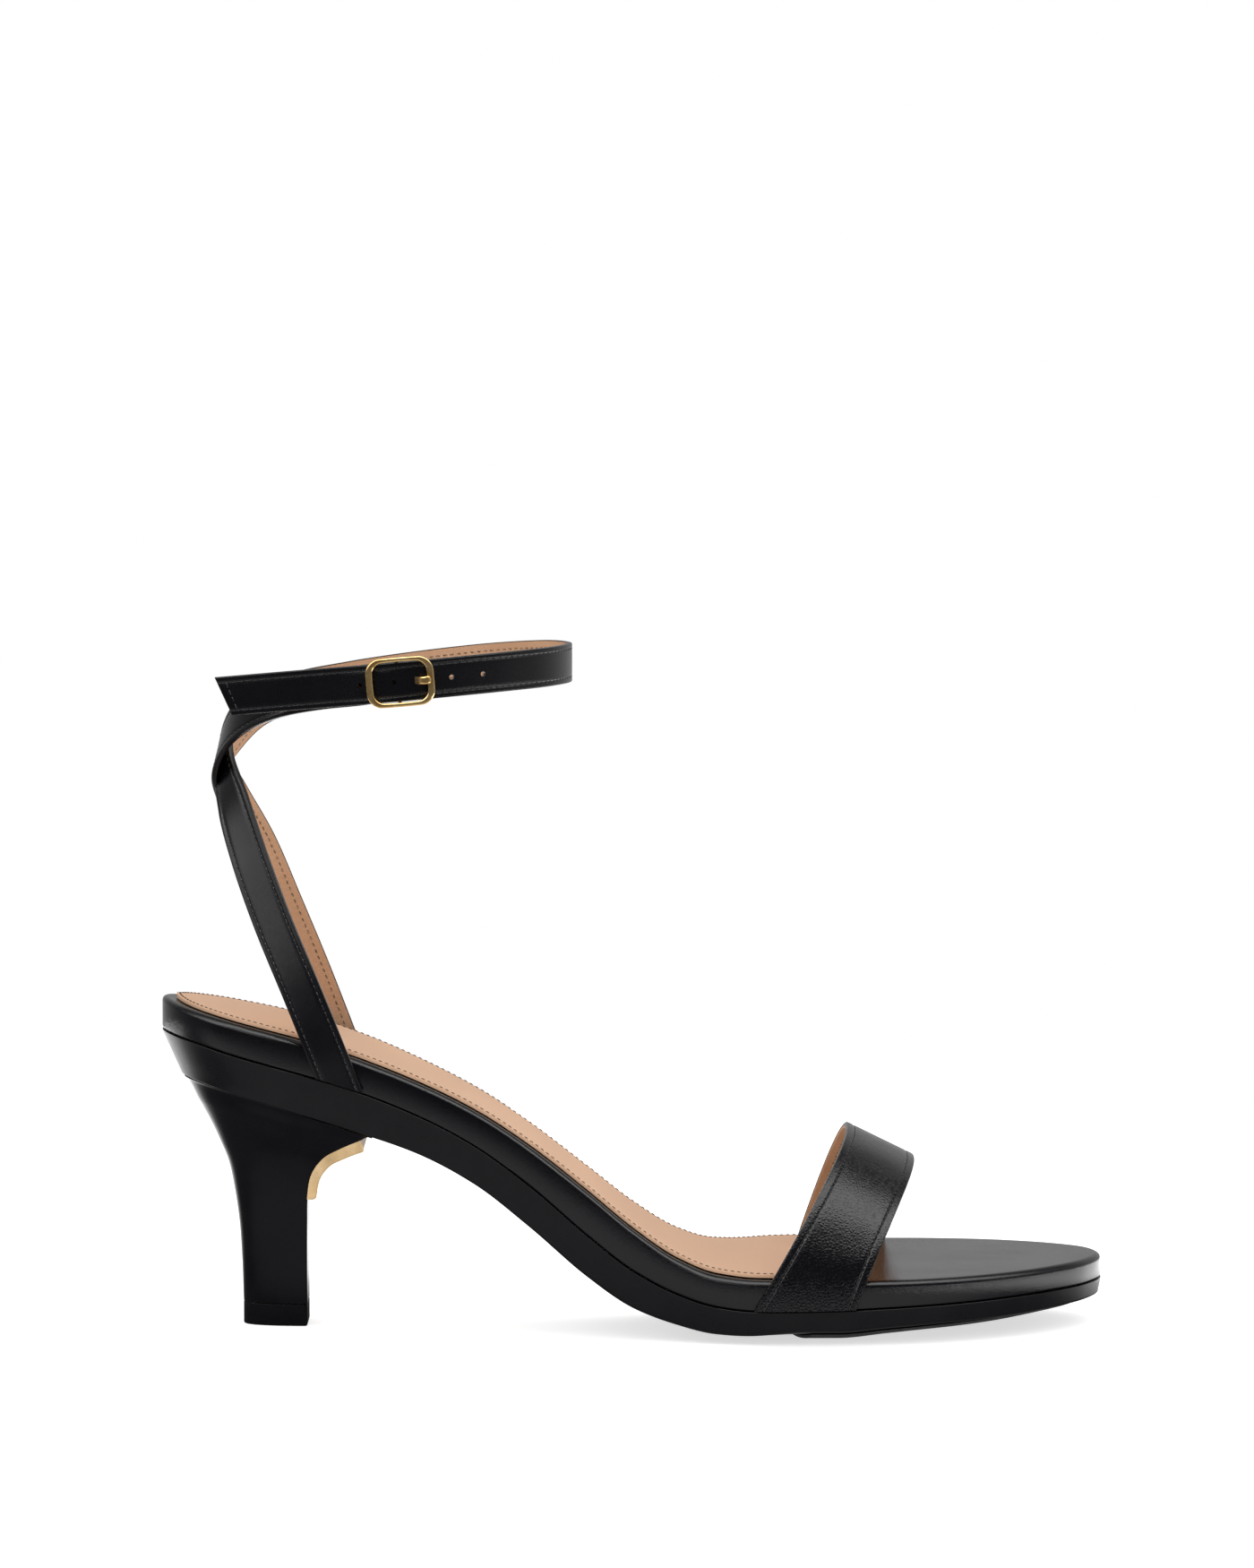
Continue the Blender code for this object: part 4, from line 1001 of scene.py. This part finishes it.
def barrelled_line(length, height, radius):
    """A rounded rectangle whose sides swell a little, up to its length and height."""
    half_length = length / 2 - BUCKLE_BARREL
    half_height = height / 2 - BUCKLE_BARREL
    corners = []
    for corner in range(4):
        along = (half_length - radius) * (1 if corner in (0, 3) else -1)
        across = (half_height - radius) * (1 if corner in (0, 1) else -1)
        for k in range(BUCKLE_CORNER_STEPS + 1):
            turn = math.radians(90) * (corner + k / BUCKLE_CORNER_STEPS)
            corners.append((along + radius * math.cos(turn), across + radius * math.sin(turn), 0.0))
    line = []
    steps = BUCKLE_CORNER_STEPS + 1
    for corner in range(4):
        line += corners[corner * steps:(corner + 1) * steps]
        start = np.array(corners[(corner + 1) * steps - 1])
        end = np.array(corners[(corner + 1) * steps % len(corners)])
        for k in range(1, BUCKLE_SIDE_STEPS):
            line.append(tuple(start + (end - start) * k / BUCKLE_SIDE_STEPS))
    line = np.array(line)
    swell_x = BUCKLE_BARREL * (1 - (line[:, 1] / half_height) ** 2)
    swell_y = BUCKLE_BARREL * (1 - (line[:, 0] / half_length) ** 2)
    line[:, 0] += np.sign(line[:, 0]) * swell_x * (np.abs(line[:, 0]) / half_length) ** 4
    line[:, 1] += np.sign(line[:, 1]) * swell_y * (np.abs(line[:, 1]) / half_height) ** 4
    return line


def frame_rings():
    """Rings round the frame: flat-faced wide bars at its ends, rounder narrow bars along the strap."""
    outer = barrelled_line(BUCKLE_LENGTH, BUCKLE_HEIGHT, BUCKLE_CORNER)
    inner = barrelled_line(
        BUCKLE_LENGTH - 2 * BUCKLE_SIDE_BAR, BUCKLE_HEIGHT - 2 * BUCKLE_BAR, BUCKLE_INNER_CORNER)
    rings = []
    for outside, inside in zip(outer, inner):
        half_width = np.linalg.norm(outside - inside) / 2
        flatness = np.clip((2 * half_width - BUCKLE_BAR) / (BUCKLE_SIDE_BAR - BUCKLE_BAR), 0.0, 1.0)
        squareness = ROUND_SECTION + (FLAT_SECTION - ROUND_SECTION) * flatness
        section = soft_section(1.0, BUCKLE_BAR / 2, squareness)
        across = section[:, :1] * (outside - inside) / 2
        rings.append((outside + inside) / 2 + across + section[:, 1:] * np.array((0.0, 0.0, 1.0)))
    return rings


gold = smooth_finish(
    "polished pale gold", GOLD_DEEP, GOLD_PALE, gloss=0.10, dull=0.22,
    scale=260.0, depth=0.004, others={"Metallic": 0.9})
points, faces = closed_sweep(frame_rings())
buckle = mesh_piece("buckle_frame_cast", on_shoe(points), faces, gold, "gilt")
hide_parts("buckle_frame")


def centre_bar_line():
    """The bar behind the strap: down from the frame's upper side, across, and up to its lower side."""
    side = (BUCKLE_HEIGHT - BUCKLE_BAR) / 2
    half = [(side, -CENTRE_BAR_OVERLAP)]
    for inset, drop in quarter_round(CENTRE_BAR_BEND, CENTRE_BAR_BEND_STEPS):
        half.append((side - inset, drop - CENTRE_BAR_DEPTH))
    dip = half + [(-y, z) for y, z in reversed(half)]
    return even_points([(CENTRE_BAR_SHIFT, y, z) for y, z in dip], SWEEP_SECTIONS)


bar_section = soft_section(CENTRE_BAR_RADIUS, CENTRE_BAR_RADIUS, CIRCLE_SECTION)
points, faces = swept_bar(centre_bar_line(), (1.0, 0.0, 0.0), bar_section, np.ones(SWEEP_SECTIONS))
mesh_piece("buckle_centre_bar", on_shoe(points), faces, gold, "gilt")

prong_line = even_points(curve_through(PRONG_PATH), SWEEP_SECTIONS)
prong_section = soft_section(PRONG_WIDTH / 2, PRONG_THICKNESS / 2, FLAT_SECTION)
to_tip = travel_along(prong_line)[-1] - travel_along(prong_line)
tip_scale = np.sqrt(1 - np.clip(1 - to_tip / PRONG_TIP_ROUNDING, 0.0, PRONG_TIP_CUT) ** 2)
points, faces = swept_bar(prong_line, (0.0, 1.0, 0.0), prong_section, tip_scale)
prong = mesh_piece("buckle_pin", on_shoe(points), faces, gold, "gilt")
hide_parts("buckle_prong")

# Sole
# The lower layer of the sole unit, moulded in satin black with a high arch and a little toe spring.
# It is cemented to the turned-in leather of the footbed, which leaves a fine dark seam all round.
FLAT_HALF_WIDTH = 19.0
EDGE_LIFT_WIDTH = 20.0
ROUNDING_STEPS = 5
SOLE_WALL_SHARES = (0.25, 0.5, 0.75, 1.0)
SOLE_TOP_EASE = 0.15
SOLE_DEEP = (0.0034, 0.0034, 0.0046)
SOLE_PALE = (0.0052, 0.0052, 0.0066)

# columns: x, taper, rounding, edge lift
SOLE_EDGE = [
    (-115.0, 4.5, 0.4, 0.0), (-100.0, 3.8, 0.4, 0.0), (-75.0, 3.0, 0.5, 0.0), (-40.0, 2.0, 0.8, 0.0),
    (0.0, 1.4, 1.0, 0.4), (30.0, 1.3, 1.0, 1.6), (42.0, 1.2, 1.0, 2.5), (60.0, 1.2, 1.0, 2.6),
    (115.9, 0.6, 0.7, 2.3),
]
sole_taper = table_curve(SOLE_EDGE, 1)
sole_rounding = table_curve(SOLE_EDGE, 2)
sole_edge_lift = table_curve(SOLE_EDGE, 3)


def underside(x, y):
    """Underside of the sole: flat across its middle, its edges raised at the forefoot."""
    beyond = np.clip((np.abs(y) - FLAT_HALF_WIDTH) / EDGE_LIFT_WIDTH, 0.0, 1.0)
    return sole_under(x) + sole_edge_lift(x) * beyond**2


def sole_edge():
    """Edge table of the sole: rounded lower edge, tapered wall, eased upper edge."""
    def top(x, y):
        return seam_height(x) - PIECE_GAP / 2

    def rounded(share):
        return lambda x, y: underside(x, y) + share * sole_rounding(x)

    def on_wall(share):
        return lambda x, y: (1 - share) * rounded(1.0)(x, y) + share * (top(x, y) - SOLE_TOP_EASE)

    xs = FOOTBED_LOOP[:, 0]
    taper = sole_taper(xs)
    rounding = sole_rounding(xs)
    edge = []
    for inset, drop in quarter_round(1.0, ROUNDING_STEPS):
        edge.append((taper + rounding * drop, rounded(inset)))
    edge += [(taper * (1 - share), on_wall(share)) for share in SOLE_WALL_SHARES]
    edge += [
        (SOLE_TOP_EASE / 3, lambda x, y: top(x, y) - SOLE_TOP_EASE / 3),
        (SOLE_TOP_EASE, top),
    ]
    return edge, top


edge, top = sole_edge()
sole_satin = smooth_finish(
    "satin black sole", SOLE_DEEP, SOLE_PALE, gloss=0.26, dull=0.34,
    scale=120.0, depth=0.01, others={"IOR": 1.26})
sole = mesh_piece(
    "sole_moulding", *slab_mesh(rings_at(FOOTBED_LOOP, edge), underside, top), sole_satin, "sole_black")
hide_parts("sole")

# Forefoot tread
# A thin pad of dull rubber let in under the forefoot, so that the shoe doesn't slip.
# It is moulded with fine ribs across the foot and cemented to the sole.
TREAD_THICKNESS = 0.7
TREAD_INSET = 4.4
TREAD_REAR = 37.5
TREAD_REAR_BOW = 6.0
TREAD_REAR_STEPS = 24
TREAD_ROUNDING = 0.3
RIB_PITCH = 2.6
RIB_DEPTH = 0.35
RIB_STEEPNESS = 2.2
RIB_MARGIN = 4.0
TREAD_DEEP = (0.020, 0.020, 0.021)
TREAD_PALE = (0.034, 0.034, 0.035)


def tread_under(x, y):
    return underside(x, y) - PIECE_GAP - TREAD_THICKNESS


def tread_outline():
    """Outline of the pad: the sole's outline, closed by a bowed rear edge."""
    corner_x = TREAD_REAR + TREAD_REAR_BOW
    shares = np.linspace(0.0, 1.0, TREAD_REAR_STEPS + 1)
    sides = []
    for side in loop_sides(inset_loop(FOOTBED_LOOP, TREAD_INSET)):
        corner_y = np.interp(corner_x, side[:, 0], side[:, 1])
        rear = np.column_stack([TREAD_REAR + TREAD_REAR_BOW * shares**2, corner_y * shares])
        sides.append(np.vstack([rear, side[side[:, 0] > corner_x + TREAD_ROUNDING]]))
    return closed_loop(*sides), sides


def ribbed_under(sides):
    """Ribs stand at the pad's underside; the grooves between them rise into it."""
    def height(x, y):
        lateral = np.interp(x, sides[0][:, 0], sides[0][:, 1])
        medial = np.interp(x, sides[1][:, 0], sides[1][:, 1])
        inside = np.clip(np.minimum(y - lateral, medial - y) / RIB_MARGIN - 1.0, 0.0, 1.0)
        wave = -np.cos(2 * math.pi * x / RIB_PITCH) / 2
        return tread_under(x, y) + RIB_DEPTH * inside * np.clip(RIB_STEEPNESS * wave, 0.0, 1.0)

    return height


outline, tread_sides = tread_outline()
tread_rings = rings_at(outline, [
    (TREAD_ROUNDING, tread_under),
    (TREAD_ROUNDING / 3, lambda x, y: tread_under(x, y) + TREAD_ROUNDING / 3),
    (0.0, lambda x, y: tread_under(x, y) + TREAD_ROUNDING),
    (0.0, lambda x, y: underside(x, y) - PIECE_GAP),
])
tread_rubber = smooth_finish(
    "dull tread rubber", TREAD_DEEP, TREAD_PALE, gloss=0.62, dull=0.8,
    scale=900.0, depth=0.05, others={})
tread = mesh_piece(
    "forefoot_tread_ribbed",
    *slab_mesh(tread_rings, ribbed_under(tread_sides), lambda x, y: underside(x, y) - PIECE_GAP),
    tread_rubber, "tread_rubber")
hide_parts("forefoot_tread")

# Heel
# A slim curved heel block, flat in front and rounded behind, sprayed with smooth black lacquer.
# It is screwed on from inside through the heel seat, which leaves a fine joint below the sole.
HEEL_MIDDLE_Y = 1.5
HEEL_ROUNDNESS = 0.78
HEEL_FRONT_CORNER = 0.5
HEEL_CORNER_STEPS = 6
HEEL_SIDE_STEPS = 48
HEEL_TIP_HEIGHT = 5.3
HEEL_TIP_CHAMFER = 0.4
HEEL_JOINT_EASE = 0.1
LACQUER_DEEP = (0.0028, 0.0028, 0.0040)
LACQUER_PALE = (0.0042, 0.0042, 0.0056)

# Sections from the seat down, each a D with its flat side to the front
# columns: x back, z back, x front, z front, half width
HEEL_SECTIONS = [
    (-109.6, 61.0, -62.9, 48.5, 22.6), (-106.1, 55.6, -66.5, 47.0, 19.6), (-103.3, 50.4, -70.9, 44.8, 16.4),
    (-101.0, 45.4, -75.1, 42.1, 13.4), (-98.9, 40.2, -78.0, 38.0, 11.2), (-97.4, 33.0, -79.1, 32.4, 9.4),
    (-96.4, 26.0, -79.3, 26.0, 8.4), (-95.7, 16.0, -79.4, 16.0, 7.5),
    (-95.3, HEEL_TIP_HEIGHT + PIECE_GAP, -79.4, HEEL_TIP_HEIGHT + PIECE_GAP, 7.0),
]


def heel_ring(x_back, x_front, half_width, height):
    """One D-shaped section: flat front, small round front corners, rounded back."""
    corner = HEEL_FRONT_CORNER
    bends = quarter_round(corner, HEEL_CORNER_STEPS)[:-1]
    half = [(x_front - inset, half_width - drop) for inset, drop in bends]
    round_depth = x_front - corner - x_back
    for k in range(HEEL_SIDE_STEPS + 1):
        turn = math.radians(90) * k / HEEL_SIDE_STEPS
        x = x_front - corner - round_depth * math.sin(turn)
        half.append((x, half_width * max(math.cos(turn), 0.0) ** HEEL_ROUNDNESS))
    flat = np.array(half + [(x, -y) for x, y in half[-2::-1]])
    flat[:, 1] += HEEL_MIDDLE_Y
    return np.column_stack([flat, height(flat[:, 0], flat[:, 1])])


def heel_rings():
    """Rings from the seat down: cut to the sole's underside above, level at the tip."""
    def seat(x, y):
        return underside(x, y) - PIECE_GAP

    def height_at(row, fade):
        x_back, z_back, x_front, z_front, _ = row
        slope = (z_front - z_back) / (x_front - x_back)

        def height(x, y):
            slanted = z_back + slope * (x - x_back)
            return slanted + fade * (seat(x, y) - slanted)

        return height

    rows = curve_through(HEEL_SECTIONS)
    ease = HEEL_JOINT_EASE
    x_back, _, x_front, _, half_width = rows[0]
    rings = [heel_ring(x_back + ease, x_front - ease, half_width - ease, seat)]
    rings.append(heel_ring(x_back, x_front, half_width, lambda x, y: seat(x, y) - ease))
    for k, row in enumerate(rows[2:], start=2):
        fade = max(0.0, 1 - k / CURVE_FINENESS) ** 2
        rings.append(heel_ring(row[0], row[2], row[4], height_at(row, fade)))
    return rings


lacquer = smooth_finish(
    "black heel lacquer", LACQUER_DEEP, LACQUER_PALE, gloss=0.16, dull=0.24,
    scale=90.0, depth=0.012, others={"IOR": 1.22, "Coat Weight": 0.02, "Coat Roughness": 0.08})
heel = mesh_piece("heel_block", *loft_mesh(heel_rings()), lacquer, "heel_lacquer")
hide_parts("heel")

# Heel tip
# The top lift, a small block of hard black rubber on which the heel walks.
# It is pinned into the heel's end and trimmed flush, with a fine joint and a chamfered lower edge.
TIP_JOINT_EASE = 0.06
TIP_CHAMFER_BULGE = 0.12
TIP_DEEP = (0.0024, 0.0024, 0.0034)
TIP_PALE = (0.0038, 0.0038, 0.0050)

x_back, _, x_front, _, half_width = HEEL_SECTIONS[-1]
tip_rings = []
for level, shrink in [
        (HEEL_TIP_HEIGHT, TIP_JOINT_EASE), (HEEL_TIP_HEIGHT - TIP_JOINT_EASE, 0.0), (HEEL_TIP_CHAMFER, 0.0),
        (HEEL_TIP_CHAMFER / 3, TIP_CHAMFER_BULGE), (0.0, HEEL_TIP_CHAMFER)]:
    tip_rings.append(heel_ring(
        x_back + shrink, x_front - shrink, half_width - shrink, lambda x, y: np.full(len(x), level)))
tip_rubber = smooth_finish(
    "hard tip rubber", TIP_DEEP, TIP_PALE, gloss=0.38, dull=0.52,
    scale=400.0, depth=0.02, others={"IOR": 1.2})
tip = mesh_piece("heel_tip_lift", *loft_mesh(tip_rings), tip_rubber, "tip_rubber")
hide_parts("heel_tip")

# Heel breast plate
# A curved strip of satin pale gold that lines the hollow where the heel's front meets the sole.
# It is bent to that curve, with rounded ends and eased edges, and cemented in place.
PLATE_THICKNESS = 2.5
PLATE_FOOT_THICKNESS = 1.8
PLATE_FRONT = -65.6
PLATE_BOTTOM = 31.3
PLATE_SIDE_MARGIN = 0.05
PLATE_BED = 0.15
PLATE_HEEL_ROWS = 7
PLATE_SECTIONS = 60
PLATE_END_ROUNDING = 1.0
PLATE_EDGE_ROUNDING = 0.35
PLATE_FACE_SHARES = (-0.6, -0.2, 0.2, 0.6)
PLATE_DEEP = (0.80, 0.54, 0.27)
PLATE_PALE = (0.94, 0.68, 0.38)


def plate_rings():
    """Rings along the plate, thinner towards its rounded ends."""
    fine = curve_through([(row[2], row[3], row[4]) for row in HEEL_SECTIONS[:PLATE_HEEL_ROWS]])
    kept = fine[(fine[:, 0] < PLATE_FRONT) & (fine[:, 1] > PLATE_BOTTOM)]
    spread = 0.5 - 0.5 * np.cos(np.linspace(0.0, math.pi, PLATE_SECTIONS))
    length = travel_along(kept)[-1]
    path = points_at(kept, spread * length)
    along = unit_rows(np.gradient(path[:, :2], axis=0))
    outward = np.column_stack([-along[:, 1], along[:, 0]])
    to_end = np.minimum(spread, 1 - spread) * length
    far_face = PIECE_GAP + PLATE_THICKNESS + (PLATE_FOOT_THICKNESS - PLATE_THICKNESS) * spread
    far_face -= PLATE_END_ROUNDING * edge_fall(to_end, PLATE_END_ROUNDING)
    rings = []
    for (x, z, half_width), (out_x, out_z), far in zip(path, outward, far_face):
        half = half_width - PLATE_SIDE_MARGIN
        outline = [
            (far - drop, inset - half) for inset, drop in quarter_round(PLATE_EDGE_ROUNDING, ROUNDING_STEPS)]
        middle = [(far, (half - PLATE_EDGE_ROUNDING) * share) for share in PLATE_FACE_SHARES]
        upper = outline + middle + [(depth, -y) for depth, y in reversed(outline)]
        lower = [(-PLATE_BED, y) for _, y in reversed(upper)]
        rings.append(np.array([
            (x + out_x * depth, HEEL_MIDDLE_Y + y, z + out_z * depth) for depth, y in upper + lower]))
    return rings


plate_gold = smooth_finish(
    "satin pale gold", PLATE_DEEP, PLATE_PALE, gloss=0.20, dull=0.32,
    scale=200.0, depth=0.004, others={"Metallic": 0.55})
plate = mesh_piece("heel_plate_gilt", *loft_mesh(plate_rings()), plate_gold, "gilt")
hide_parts("heel_breast_plate")

# Insole
# The sock lining: smooth tan leather over a thin filler, from the heel to below the toe strap.
# A row of fine stitches runs in a groove inside its edge, and the whole is glued on last.
INSOLE_INSET = 3.6
INSOLE_EDGE = 0.9
INSOLE_CROWN = 0.35
INSOLE_ROUNDING = 0.2
INSOLE_FRONT = 50.0
INSOLE_CORNER = 5.0
INSOLE_CORNER_POINTS = 10
INSOLE_STITCH_INSET = 0.65
INSOLE_GROOVE_DEPTH = 0.08
INSOLE_GROOVE_HALF = 0.22
INSOLE_STITCH = {"pitch": 1.6, "length": 1.3, "width": 0.5, "height": 0.32}
SOCK_DARK = (0.73, 0.46, 0.30)
SOCK_LIGHT = (0.81, 0.53, 0.36)
# Sock thread: from painted shade in the grooves between strands to painted highlight on their crests
SOCK_THREAD_SHADE_TO_HIGHLIGHT = ((0.03, 0.015, 0.008), (0.14, 0.075, 0.04))
LEAST_STEP = 1e-3


def insole_outline():
    """Outline inside the footbed's edge, cut off below the toe strap with rounded corners."""
    start_x = INSOLE_FRONT - INSOLE_CORNER
    turns = np.radians(np.linspace(0.0, 90.0, INSOLE_CORNER_POINTS))
    sides = []
    for side in loop_sides(inset_loop(FOOTBED_LOOP, INSOLE_INSET)):
        kept = side[side[:, 0] < start_x]
        corner_y = np.interp(start_x, side[:, 0], side[:, 1])
        reach = math.copysign(INSOLE_CORNER, corner_y)
        arc = np.column_stack([
            start_x + INSOLE_CORNER * np.sin(turns), corner_y - reach + reach * np.cos(turns)])
        sides.append(np.vstack([kept, arc, [(INSOLE_FRONT, 0.0)]]))
    return closed_loop(*sides)


insole_loop = insole_outline()
insole_lateral, _ = loop_sides(inset_loop(FOOTBED_LOOP, INSOLE_INSET))


def insole_under(x, y):
    return footbed_top(x) + PIECE_GAP


def insole_crown(x, y):
    half = np.interp(x, insole_lateral[:, 0], -insole_lateral[:, 1])
    across = np.clip(np.abs(y) / half, 0.0, 1.0)
    return insole_under(x, y) + INSOLE_EDGE + INSOLE_CROWN * (1 - across**2)


def below_crown(drop):
    return lambda x, y: insole_crown(x, y) - drop


insole_edge = [(0.0, insole_under), (0.0, below_crown(INSOLE_ROUNDING))]
for inset, drop in quarter_round(INSOLE_ROUNDING, ROUNDING_STEPS)[1:]:
    insole_edge.append((inset, below_crown(drop)))
for inset in groove_columns(INSOLE_STITCH_INSET, INSOLE_GROOVE_HALF, reach=4):
    depth = INSOLE_GROOVE_DEPTH * soft_rise(inset, INSOLE_STITCH_INSET, INSOLE_GROOVE_HALF)
    insole_edge.append((inset, below_crown(depth)))
insole_leather = leather(
    "tan sock leather", SOCK_DARK, SOCK_LIGHT, gloss=0.45, dull=0.60, ior=TAN_IOR,
    grain_size=0.45, grain_depth=0.012)
insole = mesh_piece(
    "insole_sock", *slab_mesh(rings_at(insole_loop, insole_edge), insole_under, below_crown(0.0)),
    insole_leather, "tan_leather")
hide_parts("insole")

stitch_ring = rings_at(insole_loop, [(INSOLE_STITCH_INSET, below_crown(INSOLE_GROOVE_DEPTH))])[0]
stitch_ring = np.vstack([stitch_ring, stitch_ring[:1]])
step_x = np.gradient(stitch_ring[:, 0])
step_z = np.gradient(insole_under(stitch_ring[:, 0], 0.0))
slope = step_z / np.where(np.abs(step_x) < LEAST_STEP, LEAST_STEP, step_x)
stitch_up = unit_rows(np.column_stack([-slope, np.zeros(len(slope)), np.ones(len(slope))]))
sock_thread = thread("sock thread", *SOCK_THREAD_SHADE_TO_HIGHLIGHT, roughness=0.55)
sock_lines = [(stitch_ring, stitch_up)]
mesh_piece("insole_stitches", *stitch_mesh(sock_lines, **INSOLE_STITCH), sock_thread, "tan_leather")

# Studio
# A pale floor and a white surround, as in a catalogue studio: a large soft light overhead, a white
# backdrop behind and to the sides, a lamp on the heel's side, a bright card beyond the toe, and a
# dark room on the camera's side.
FLOOR_RADIUS = 0.45
FLOOR_SIDES = 96
FLOOR_ALBEDO = 0.86
FLOOR_GLOW = 0.62
WHITE = (1.0, 1.0, 1.0, 1.0)
BLACK = (0.0, 0.0, 0.0, 1.0)
CAMERA_PLACE = (-0.001, -1.85, 0.275)
CAMERA_DIP = math.radians(4.39)
FOCAL_PIXELS = 8465.0
IMAGE_HEIGHT = 1750.0
SENSOR = 36.0

# Light of the surround by direction, from below behind over the front and overhead to the back
# columns: degrees above the front horizon, brightness
SURROUND = [
    (-180.0, 0.55), (-90.0, 0.2), (-14.0, 0.1), (-2.0, 0.06), (19.0, 0.06), (30.0, 0.12), (39.0, 0.45),
    (49.0, 2.1), (58.0, 3.8), (69.0, 4.3), (79.0, 3.9), (90.0, 2.3), (101.0, 0.7), (111.0, 0.22),
    (122.0, 0.25), (132.0, 0.55), (150.0, 0.6), (166.0, 0.46), (180.0, 0.42),
]

# Walls beside the shoe, which only surfaces that turn sideways reflect
# columns: degrees round from the front towards the heel, brightness
SIDE_WALLS = [
    (-180.0, 0.6), (-150.0, 0.6), (-110.0, 0.55), (-80.0, 0.35), (-50.0, 0.15), (0.0, 0.04), (48.0, 0.05),
    (80.0, 0.14), (110.0, 0.24), (150.0, 0.42), (180.0, 0.6),
]
WALL_SIDEWAYS = (0.15, 0.5)
WALL_UPWARD = (0.35, 0.7)

# A lamp above the wall on the heel's side
# columns: degrees round from the front towards the heel, brightness
HEEL_LAMP = [(-180.0, 0.0), (8.0, 0.0), (26.0, 2.2), (70.0, 2.2), (90.0, 0.3), (110.0, 0.0), (180.0, 0.0)]
LAMP_UPWARD = (0.14, 0.34)

# What low surfaces reflect of the lit floor
# columns: millimetres in front of the shoe's middle line, brightness
FLOOR_SHEEN = [
    (-450.0, 2.4), (-100.0, 2.0), (-60.0, 0.7), (-30.0, 0.15), (25.0, 0.15), (60.0, 0.75), (135.0, 0.75),
    (180.0, 0.4), (250.0, 0.35), (330.0, 0.12), (450.0, 0.06),
]

# A bright card on the floor beyond the toe, which only the sole's end reflects
TOE_CARD_EDGE = (0.122, 0.15)
TOE_CARD_BRIGHTNESS = 3.0

floor_mesh = bpy.data.meshes.new("floor")
work = bmesh.new()
bmesh.ops.create_circle(work, cap_ends=True, segments=FLOOR_SIDES, radius=FLOOR_RADIUS)
work.to_mesh(floor_mesh)
work.free()
floor = place_object("floor", floor_mesh)


def brightness_ramp(tree, value, table, unit, gain):
    """Grey light read from a table of places and brightness; unit is one step of its places."""
    first = table[0][0]
    span = table[-1][0] - first
    share = ranged(tree, value, first * unit, (first + span) * unit, 0.0, 1.0)
    ramp = add_node(tree, "ValToRGB", {"Fac": share})
    ramp.color_ramp.interpolation = "EASE"
    stops = ramp.color_ramp.elements
    for place, _ in table[1:-1]:
        stops.new((place - first) / span)
    for stop, (_, brightness) in zip(stops, table):
        stop.color = (brightness * gain, brightness * gain, brightness * gain, 1.0)
    return ramp.outputs["Color"]


floor_paint, tree, floor_shader = new_material("pale floor")
mirrored = add_node(tree, "LightPath", {}).outputs["Is Glossy Ray"]
floor_place = add_node(tree, "SeparateXYZ", {"Vector": add_node(tree, "NewGeometry", {}).outputs["Position"]})
in_front = worked_out(tree, "MULTIPLY", floor_place.outputs["Y"], -1.0)
beyond_toe = ranged(tree, floor_place.outputs["X"], *TOE_CARD_EDGE, 0.0, 1.0)
card = (*[TOE_CARD_BRIGHTNESS / FLOOR_GLOW] * 3, 1.0)
sheen = mixed_colour(
    tree, beyond_toe, brightness_ramp(tree, in_front, FLOOR_SHEEN, MM, 1 / FLOOR_GLOW), card)
pale = (FLOOR_ALBEDO, FLOOR_ALBEDO, FLOOR_ALBEDO, 1.0)
connect(tree, floor_shader, {
    "Base Color": mixed_colour(tree, mirrored, pale, BLACK), "Roughness": 0.9,
    "Specular IOR Level": 0.0, "Emission Color": mixed_colour(tree, mirrored, WHITE, sheen),
    "Emission Strength": FLOOR_GLOW,
})
floor_mesh.materials.append(floor_paint)

world = bpy.data.worlds.new("studio surround")
bpy.context.scene.world = world
world.use_nodes = True
world.cycles.sampling_method = "NONE"
tree = world.node_tree
parts = add_node(tree, "SeparateXYZ", {"Vector": add_node(tree, "TexCoord", {}).outputs["Generated"]})
upward = parts.outputs["Z"]
to_front = worked_out(tree, "MULTIPLY", parts.outputs["Y"], -1.0)
to_heel = worked_out(tree, "MULTIPLY", parts.outputs["X"], -1.0)
over_shoe = worked_out(tree, "ARCTAN2", upward, to_front)
overhead = brightness_ramp(tree, over_shoe, SURROUND, math.radians(1), 1.0)
round_shoe = worked_out(tree, "ARCTAN2", to_heel, to_front)
walls = brightness_ramp(tree, round_shoe, SIDE_WALLS, math.radians(1), 1.0)
lamp = brightness_ramp(tree, round_shoe, HEEL_LAMP, math.radians(1), 1.0)
lit_walls = add_node(tree, "Mix", {
    0: ranged(tree, upward, *LAMP_UPWARD, 0.0, 1.0), 6: walls, 7: lamp}, data_type="RGBA", blend_type="ADD")
beside = ranged(tree, worked_out(tree, "ABSOLUTE", to_heel), *WALL_SIDEWAYS, 0.0, 1.0)
level = ranged(tree, worked_out(tree, "ABSOLUTE", upward), *WALL_UPWARD, 1.0, 0.0)
room = mixed_colour(tree, worked_out(tree, "MULTIPLY", beside, level), overhead, lit_walls.outputs[2])
mirrored = add_node(tree, "LightPath", {}).outputs["Is Glossy Ray"]
connect(tree, tree.nodes["Background"], {"Color": mixed_colour(tree, mirrored, WHITE, room)})

camera = place_object("camera", bpy.data.cameras.new("camera"))
camera.data.lens = FOCAL_PIXELS * SENSOR / IMAGE_HEIGHT
camera.data.sensor_width = SENSOR
camera.location = CAMERA_PLACE
camera.rotation_euler = (math.radians(90) - CAMERA_DIP, 0.0, 0.0)
bpy.context.scene.camera = camera
bpy.context.scene.view_settings.view_transform = "Standard"
